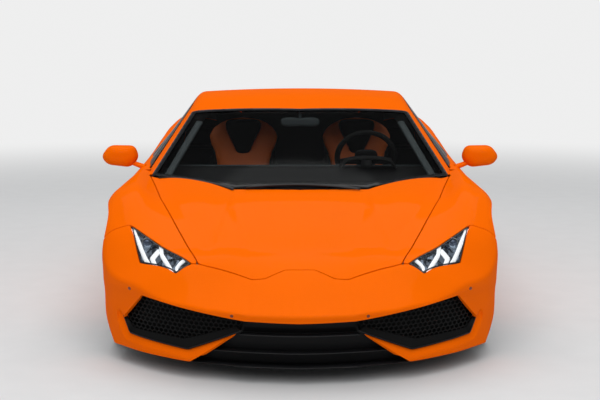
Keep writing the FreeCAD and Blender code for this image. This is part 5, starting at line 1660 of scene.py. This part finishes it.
@dataclass
class Interior:
    """Seats, dash, console, steering wheel, grey trims and the mirror in the cabin.

    Attributes:
        seat_x: distance of a seat's middle from the centre line.
        column: middle of the steering wheel.
        lean: angle of its axis from level.
        grip: radius of its rim's section.
        wheel_radius: its radius over the rim.
    """

    seat_x: float = 0.356
    column: tuple[float, float, float] = (0.375, 1.900, 0.800)
    lean: float = math.radians(25.0)
    grip: float = 0.015
    wheel_radius: float = 0.178

    def seat(self) -> dict[str, Shape]:
        """One seat about the centre line: the parts by name, each a stuffed roll along its own curve."""
        back = along(((0, 2.500, .300), (0, 2.560, .500), (0, 2.655, .800), (0, 2.715, .972)), 60)
        z = back[:, 2]
        main = pillow(back, np.interp(z, (.30, .66, .76, .80, .855, .905, .945, .97),
                                      (.178, .160, .178, .200, .216, .198, .165, .120)),
                      np.interp(z, (.30, .60, .85, .97), (.060, .050, .048, .036)), 3.6)
        front = along(((0, 2.588, .755), (0, 2.610, .835), (0, 2.640, .915), (0, 2.668, .962)), 48)
        insert = pillow(front, np.interp(front[:, 2], (.755, .79, .90, .962), (.045, .052, .105, .118)),
                        np.interp(front[:, 2], (.755, .85, .962), (.020, .026, .022)), 5.0)
        base = pillow(along(((0, 2.070, .318), (0, 2.200, .318), (0, 2.480, .285)), 50),
                      0.200, 0.050)
        pad = pillow(along(((0, 2.080, .345), (0, 2.200, .345), (0, 2.450, .312)), 50),
                     0.125, 0.030)
        wing = along(((.172, 2.450, .330), (.186, 2.480, .480), (.190, 2.520, .620), (.188, 2.575, .745)), 50)
        wings = pillow(wing, np.interp(wing[:, 2], (.33, .6, .75), (.034, .032, .022)),
                       np.interp(wing[:, 2], (.33, .5, .75), (.040, .060, .034)), 2.4)
        edge = pillow(along(((.172, 2.075, .345), (.180, 2.250, .352), (.176, 2.470, .340)), 50),
                      0.034, 0.034, 2.4)
        seam = front + np.stack([np.interp(front[:, 2], (.755, .79, .90, .962), (.047, .054, .107, .120)),
                                 np.full(48, -0.012), np.zeros(48)], 1)
        cord = swept(seam[3:45], 0.0026, 0.0026, (1, 0, 0), 8)
        shell = pillow(back + (0, 0.030, -0.01), np.interp(z, (.30, .70, .85, .90, .97),
                                                           (.190, .196, .205, .180, .106)),
                       0.022)
        return {"back": main, "insert": insert, "cushion": base, "cushion_pad": pad,
                "back_bolsters": wings.both(), "cushion_bolsters": edge.both(), "piping": cord.both(),
                "shell": shell}

    def seats(self) -> None:
        """Both seats and their rails."""
        finishes = {"insert": Stock.suede, "cushion_pad": Stock.suede, "piping": Stock.piping,
                    "shell": Stock.satin, "back_bolsters": Stock.suede}
        parts = self.seat()
        for side, x in ((Side.LEFT, self.seat_x), (Side.RIGHT, -self.seat_x)):
            for name, part in parts.items():
                shape = part.moved(x, 0, 0)
                made = piece(f"seat_{side.value}_{name}", shape, (finishes.get(name, Stock.hide),),
                             replaced=("seats",))
                name not in ("piping", "shell")
        rails = []
        for x in (self.seat_x - 0.15, self.seat_x + 0.15):
            line = straight(((x, 2.090, .180), (x, 2.540, .180)), 12)
            rails.append(swept(line, 0.018, 0.024, (1, 0, 0), 12, 5.0))
            for s in (2.12, 2.46):
                post = straight(((x, s, .18), (x, s, .29)), 6)
                rails.append(swept(post, 0.014, 0.030, (1, 0, 0), 12, 5.0))
        piece("seat_rails", together(rails).both(), (Stock.satin,), replaced=("seats",))

    def dash(self) -> None:
        """The dash as a rounded section carried across the car, its hood, the column and the console."""
        section = smooth_ring(((1.345, .565), (1.345, .698), (1.475, .704), (1.700, .766), (1.820, .763),
                               (1.848, .715), (1.768, .602), (1.560, .524)), 0.045, 9)
        x = np.linspace(-0.752, 0.752, 60)
        share = 1 - 0.10 * np.abs(x / 0.752) ** 14
        middle = section.mean(0)
        ring = (section - middle) * share[:, None, None] + middle
        rings = np.stack([np.repeat(x[:, None], len(section), 1), ring[..., 0], ring[..., 1]], -1)
        piece("dash_skin", closed(rings), (Stock.dash,), replaced=("dashboard",))
        hood = along(((.225, 1.700, .768), (.262, 1.700, .806), (.375, 1.700, .818), (.488, 1.700, .806),
                      (.525, 1.700, .768)), 40)
        piece("instrument_hood", swept(hood, 0.070, 0.008, (0, 1, 0), 20, 4.0), (Stock.suede,))
        back = np.array(self.column) - np.array((0, math.cos(self.lean), math.sin(self.lean))) * 0.034
        shaft = straight(((self.column[0], 1.700, .707), tuple(back)), 16)
        piece("column_shroud", swept(shaft, np.linspace(0.044, 0.028, 16), np.linspace(0.036, 0.026, 16),
                                     (1, 0, 0), 24, 2.6), (Stock.trim,))
        tunnel = along(((0, 1.640, .600), (0, 1.760, .520), (0, 1.980, .410), (0, 2.250, .380),
                        (0, 2.560, .375)), 60)
        piece("console", swept(tunnel, np.linspace(0.120, 0.098, 60), 0.055, (1, 0, 0), 28, 4.0),
              (Stock.dash,))
        screen = straight(((0, 1.800, .655), (0, 1.838, .735)), 8)
        piece("console_screen", swept(screen + (0, -0.005, 0), 0.105, 0.010, (1, 0, 0), 20, 8.0),
              (Stock.gloss,))

    def wheel_frame(self, across: np.ndarray, up: np.ndarray, toward: np.ndarray) -> np.ndarray:
        """Places given across and up the steering wheel's plane and toward the driver."""
        c, n = math.cos(self.lean), math.sin(self.lean)
        out = np.stack([across, toward * c - up * n, toward * n + up * c], -1)
        return out + np.array(self.column)

    def steering(self) -> None:
        """The wheel's rim, thicker at the grips and flat below, with a pad and three spokes."""
        a, b = np.meshgrid(full_turn(120), full_turn(18), indexing="ij")
        reach = (self.wheel_radius - self.grip)
        thick = self.grip * (1 - 0.10 * np.cos(2 * a))
        out = reach + thick * np.cos(b)
        up = np.maximum(out * np.cos(a), -0.150 + 0.6 * (out - reach))
        rim = ringed(self.wheel_frame(out * np.sin(a), up, thick * np.sin(b)))
        t = np.linspace(0, 1, 14)
        spokes = []
        for way in (100.0, 260.0, 180.0):
            w = math.radians(way)
            r = 0.030 + (0.118 if way == 180.0 else 0.135) * t
            line = self.wheel_frame(r * math.sin(w), r * math.cos(w), -0.014 + 0.012 * t)
            tangent = self.wheel_frame(np.array(math.cos(w)), np.array(-math.sin(w)),
                                       np.array(0.0)) - np.array(self.column)
            spokes.append(swept(line, np.linspace(0.030, 0.016, 14), 0.007, tuple(tangent), 20, 3.0))
        n = np.linspace(-0.022, 0.014, 12)
        core = self.wheel_frame(0 * n, 0 * n, n)
        grow = np.sqrt(np.maximum(1 - np.abs((n + 0.004) / 0.0185) ** 4, 0.02))
        pad = swept(core, 0.066 * grow, 0.052 * grow, (1, 0, 0), 36, 3.2)
        piece("steering_rim", rim, (Stock.suede,), body="steering_wheel",
              replaced=("steering_wheel",))
        piece("steering_spokes", together(spokes), (Stock.satin,), body="steering_wheel")
        piece("steering_pad", pad, (Stock.dash,), body="steering_wheel")

    def frame_trims(self) -> None:
        """Grey trims inside the windscreen pillars and along the dash's rear edge."""
        t = np.linspace(0, 1, 40)
        x = 0.700 - 0.125 * t
        station = 1.400 + 0.560 * t
        line = lifted(FORM.cabin, Rays.plan(0.5), x, station) - (0, 0, 0.030)
        trim = swept(line, 0.020, 0.010, (1, 0, 0), 20, 2.6)
        piece("pillar_trims", trim.both(), (Stock.grey,))
        x = np.linspace(-0.720, 0.720, 60)
        edge = np.stack([x, 0 * x + 1.822, 0 * x + 0.7625], 1)
        piece("dash_edge", swept(edge, 0.008, 0.004, (0, 1, 0), 16), (Stock.grey,))

    def mirror(self) -> None:
        """The inner mirror with two soft lobes on its stem."""
        x = np.linspace(-0.112, 0.112, 60)
        t = np.abs(x) / 0.112
        high = (0.022 + 0.005 * np.cos((t - 0.55) * 3.0)) * np.maximum(1 - t ** 8, 0.001) ** 0.4
        head = swept(np.stack([x, 0 * x + 1.996, 0 * x + 0.995], 1), high, np.maximum(high * 0.42, 0.001),
                     (0, 0, 1), 24, 2.6)
        stem = swept(along(((0, 1.996, 1.000), (0, 2.000, 1.035), (0, 2.030, 1.070)), 14), 0.008,
                     0.006, (1, 0, 0), 12)
        piece("cabin_mirror_head", head.joined(stem), (Stock.grey,),
              replaced=("cabin_mirror",))

    def build(self) -> None:
        """Makes every piece."""
        self.seats()
        self.dash()
        self.steering()
        self.frame_trims()
        self.mirror()


@dataclass
class Wheels:
    """Tyres with cut treads, five-by-two-spoke rims, bolts, brake discs and the arches' turned-in edges.

    Attributes:
        rim_radius: radius of the tyre's seat on the rim.
        tread_blocks: number of blocks round the tread.
        groove_depth: depth of the grooves round the tread.
        slit_depth: depth of the slits across it.
        spoke_pairs: number of pairs of spokes.
        bolt_circle: distance of the bolts from the axis.
    """

    rim_radius: float = 0.254
    tread_blocks: int = 52
    groove_depth: float = 0.0055
    slit_depth: float = 0.0040
    spoke_pairs: int = 5
    bolt_circle: float = 0.052

    def tyre(self, half: float, radius: float) -> Shape:
        """A tyre about the X axis: a rounded profile turned round, its tread cut by grooves and slits."""
        share = along(((-.80, 0), (-.90, .10), (-.985, .32), (-1, .50), (-.975, .74), (-.915, .90),
                       (-.82, .972), (-.55, .994), (0, 1), (.55, .994), (.82, .972), (.915, .90),
                       (.975, .74), (1, .50), (.985, .32), (.90, .10), (.80, 0)),
                      84)
        bead = self.rim_radius - 0.004
        profile = np.stack([share[:, 0] * half, bead + share[:, 1] * (radius - bead)], 1)
        rings = turned_about_x(profile, 4 * self.tread_blocks)
        x = np.abs(share[:, 0])[:, None]
        turn = np.arange(4 * self.tread_blocks)[None] % 4
        groove = (np.abs(x - 0.24) < 0.045) | (np.abs(x - 0.60) < 0.035)
        slit = (x > 0.30) & (x < 0.90) & (turn == 0)
        depth = self.groove_depth * (groove & (x < 0.9)) + self.slit_depth * (slit & ~groove)
        shrink = 1 - depth / profile[:, 1:]
        rings[..., 1:] *= shrink[..., None]
        return ringed(rings)

    def rim(self, half: float) -> Shape:
        """A rim about the X axis: barrel, hub and paired spokes that dish outwards as they leave the hub."""
        face = half - 0.012
        barrel = np.array([(face - .004, .2555), (face, .251), (face - .004, .244), (face - .040, .2370),
                           (-half + .020, .2370), (-half + .004, .246), (-half + .004, .2555),
                           (-half + .022, .2470), (face - .040, .2470), (face - .012, .2505)])
        parts = [ringed(turned_about_x(barrel, 128))]
        hub = np.array([(.012, .070), (.040, .071), (.048, .064), (.050, .044), (.044, .036), (.046, .031),
                        (.052, .028), (.054, .015), (.0545, .0005)])
        parts.append(closed(turned_about_x(hub, 72)))
        t = np.linspace(0, 1, 26)
        r = 0.048 + 0.192 * t
        for pair in range(self.spoke_pairs):
            for side in (-1, 1):
                a = 2 * np.pi * pair / self.spoke_pairs + side * np.radians(7 + 6.5 * t)
                path = np.stack([0.036 + (face - 0.066) * t ** 1.6, r * np.sin(a), r * np.cos(a)], 1)
                tangent = (0.0, float(np.cos(a[13])), float(-np.sin(a[13])))
                parts.append(swept(path, np.interp(t, (0, .5, 1), (.016, .0115, .017)),
                                   np.interp(t, (0, 1), (.016, .011)), tangent, 20, 3.0))
        return together(parts)

    def bolts(self) -> Shape:
        """Five bolt heads round the hub."""
        parts = []
        for k in range(5):
            a = 2 * np.pi * (k + 0.5) / 5
            y, z = self.bolt_circle * math.sin(a), self.bolt_circle * math.cos(a)
            path = straight(((.044, y, z), (.058, y, z)), 5)
            parts.append(swept(path, 0.0085, 0.0085, (0, 0, 1), 6))
        return together(parts)

    def arch_edges(self) -> None:
        """The arches' edges turned in: each arch's line in side view, on the body's form, carried inwards."""
        made = []
        for end in End:
            radius = end.arch - 0.001
            a = np.radians(np.concatenate([np.zeros(12), np.linspace(0, 180, 73), np.full(12, 180.0)]))
            foot = np.linspace(LOW + 0.030, end.tyre - 0.010, 12)
            z = np.concatenate([foot, end.tyre + radius * np.sin(a[12:-12]), foot[::-1]])
            out = np.stack([0 * a, np.cos(a), np.sin(a)], -1)
            skin = lifted(FORM.body, Rays.side(0.3), end.axle + radius * out[:, 1], z) - (0.006, 0, 0)
            sheet = facing(grid(np.stack([skin, skin - (0.075, 0, 0)], 1)), (0, 0, -1))
            behind = np.stack([skin, skin - (0.075, 0, 0)], 1) + 0.003 * out[:, None]
            made.append(sheet.walled(behind.reshape(-1, 3), 0))
        piece("arch_edges", together(made).both(), (Stock.trim,))

    def disc(self) -> Shape:
        """A brake disc about the X axis with a groove round its edge for the vents, and its bell."""
        profile = np.array([(.030, .066), (.034, .070), (.034, .084), (.030, .0885), (-.011, .0895),
                            (-.011, .177), (-.0135, .1795), (-.022, .1795), (-.022, .168), (-.033, .168),
                            (-.033, .1795), (-.042, .1795), (-.0445, .177), (-.0445, .066)])
        return ringed(turned_about_x(profile, 96))

    def build(self) -> None:
        """Makes every piece."""
        self.arch_edges()
        for end in End:
            centre = (end.out, end.axle, end.tyre)
            made = (self.tyre(end.half - 0.001, end.tyre - 0.0005), self.rim(end.half),
                    self.bolts(), self.disc())
            tyre, rim, bolts, disc = (part.moved(*centre) for part in made)
            for side in Side:
                place = f"{end.label}_{side.value}"
                body = f"wheel_{place}"
                piece(f"tyre_tread_{place}", side.of(tyre), (Stock.rubber,), body, (f"tyre_{place}",))
                piece(f"rim_{place}", side.of(rim), (Stock.alloy,), body, (body,))
                piece(f"wheel_bolts_{place}", side.of(bolts), (Stock.steel,), body)
                piece(f"brake_disc_{place}", side.of(disc), (Stock.steel,), body)


class Dressing:
    """Finishes of the CAD nodes that stay."""

    by_slot = {
        "paint": Stock.paint, "black_trim": Stock.trim, "black_gloss": Stock.gloss, "lamp": Stock.chrome,
        "tail_lamp": Stock.tail, "glass": Stock.glass, "tyre": Stock.rubber, "rim": Stock.alloy,
        "cast_metal": Stock.casting, "steel": Stock.steel, "tub": Stock.tub, "dash": Stock.dash,
        "seat": Stock.hide, "steering": Stock.dash,
    }

    def build(self) -> None:
        """Assigns each node the finish of its slot."""
        for part in frame["record"]["subparts"]:
            node = frame["nodes"][part["node"]]
            node.data.materials.clear()
            node.data.materials.append(self.by_slot[part["material_slot"]].made())


@dataclass
class Studio:
    """Pale floor, even sky, soft lights and the camera at the photograph's angle.

    Attributes:
        lens: focal length in millimetres.
        film: width of the sensor in millimetres.
        camera_place: where the camera stands.
        camera_dip: how far it looks down.
        floor_size: length of the floor's sides.
        backdrop: the tone that the camera sees behind the car.
    """

    lens: float = 72.0
    film: float = 36.0
    camera_place: tuple[float, float, float] = (0.0, -7.1215, 1.492)
    camera_dip: float = 0.137
    floor_size: float = 60.0
    backdrop: Colour = PaleFloor.backdrop

    def floor(self) -> None:
        """A wide flat floor of pale paper."""
        half = self.floor_size / 2
        mesh = bpy.data.meshes.new("studio_floor")
        mesh.from_pydata([(-half, -half, 0), (half, -half, 0), (half, half, 0), (-half, half, 0)], [],
                         [(0, 1, 2, 3)])
        mesh.materials.append(PaleFloor("floor_paper", (0.70, 0.70, 0.70), 0.85, grain=40.0, depth=0.0,
                                        unevenness=0.03).made())
        made = bpy.data.objects.new("studio_floor", mesh)
        bpy.context.scene.collection.objects.link(made)

    def sky(self) -> None:
        """An even pale sky that the camera sees as near white."""
        world = bpy.data.worlds.new("studio_sky")
        bpy.context.scene.world = world
        world.use_nodes = True
        tree = world.node_tree
        tree.nodes.clear()
        plain = tree.nodes.new("ShaderNodeBackground")
        plain.inputs["Color"].default_value = (0.94, 0.97, 1.0, 1)
        plain.inputs["Strength"].default_value = 0.30
        shown = tree.nodes.new("ShaderNodeBackground")
        shown.inputs["Color"].default_value = (*self.backdrop, 1)
        path = tree.nodes.new("ShaderNodeLightPath")
        both = tree.nodes.new("ShaderNodeMixShader")
        out = tree.nodes.new("ShaderNodeOutputWorld")
        tree.links.new(path.outputs["Is Camera Ray"], both.inputs[0])
        tree.links.new(plain.outputs[0], both.inputs[1])
        tree.links.new(shown.outputs[0], both.inputs[2])
        tree.links.new(both.outputs[0], out.inputs["Surface"])

    def lamp(self, name: str, place: tuple[float, float, float], size: float, power: float) -> None:
        """A square soft light aimed at the car's middle.

        Args:
            name: its name.
            place: where it stands.
            size: length of its sides in metres.
            power: its power in watts.
        """
        light = bpy.data.lights.new(name, "AREA")
        light.energy = power
        light.size = size
        made = bpy.data.objects.new(name, light)
        made.location = place
        aim = np.array((0.0, 0.0, 0.5)) - place
        made.rotation_euler = (math.atan2(math.hypot(aim[0], aim[1]), -aim[2]), 0,
                               math.atan2(-aim[0], aim[1]))
        bpy.context.scene.collection.objects.link(made)

    def camera(self) -> None:
        """The camera where the photograph was taken from."""
        data = bpy.data.cameras.new("camera")
        data.lens = self.lens
        data.sensor_width = self.film
        made = bpy.data.objects.new("camera", data)
        made.location = self.camera_place
        made.rotation_euler = (math.pi / 2 - self.camera_dip, 0, 0)
        bpy.context.scene.collection.objects.link(made)
        bpy.context.scene.camera = made

    def build(self) -> None:
        """Makes the stage."""
        bpy.context.scene.view_settings.view_transform = "Standard"
        self.camera()
        self.floor()
        self.sky()
        self.lamp("front_light", (0.0, -9.0, 9.0), 12.0, 900.0)
        self.lamp("top_light", (0.0, 1.5, 11.0), 14.0, 780.0)


def main() -> None:
    """Builds the car over its frame, then the studio."""
    logging.basicConfig(level=logging.INFO, format="%(message)s")
    Dressing().build()
    for assembly in (FrontEnd(), Cabin(), Doors(), RearEnd(), Interior(), Wheels(), Studio()):
        assembly.build()
        log.info("%s finished", type(assembly).__name__)
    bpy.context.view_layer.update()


if __name__ == "__main__":
    main()
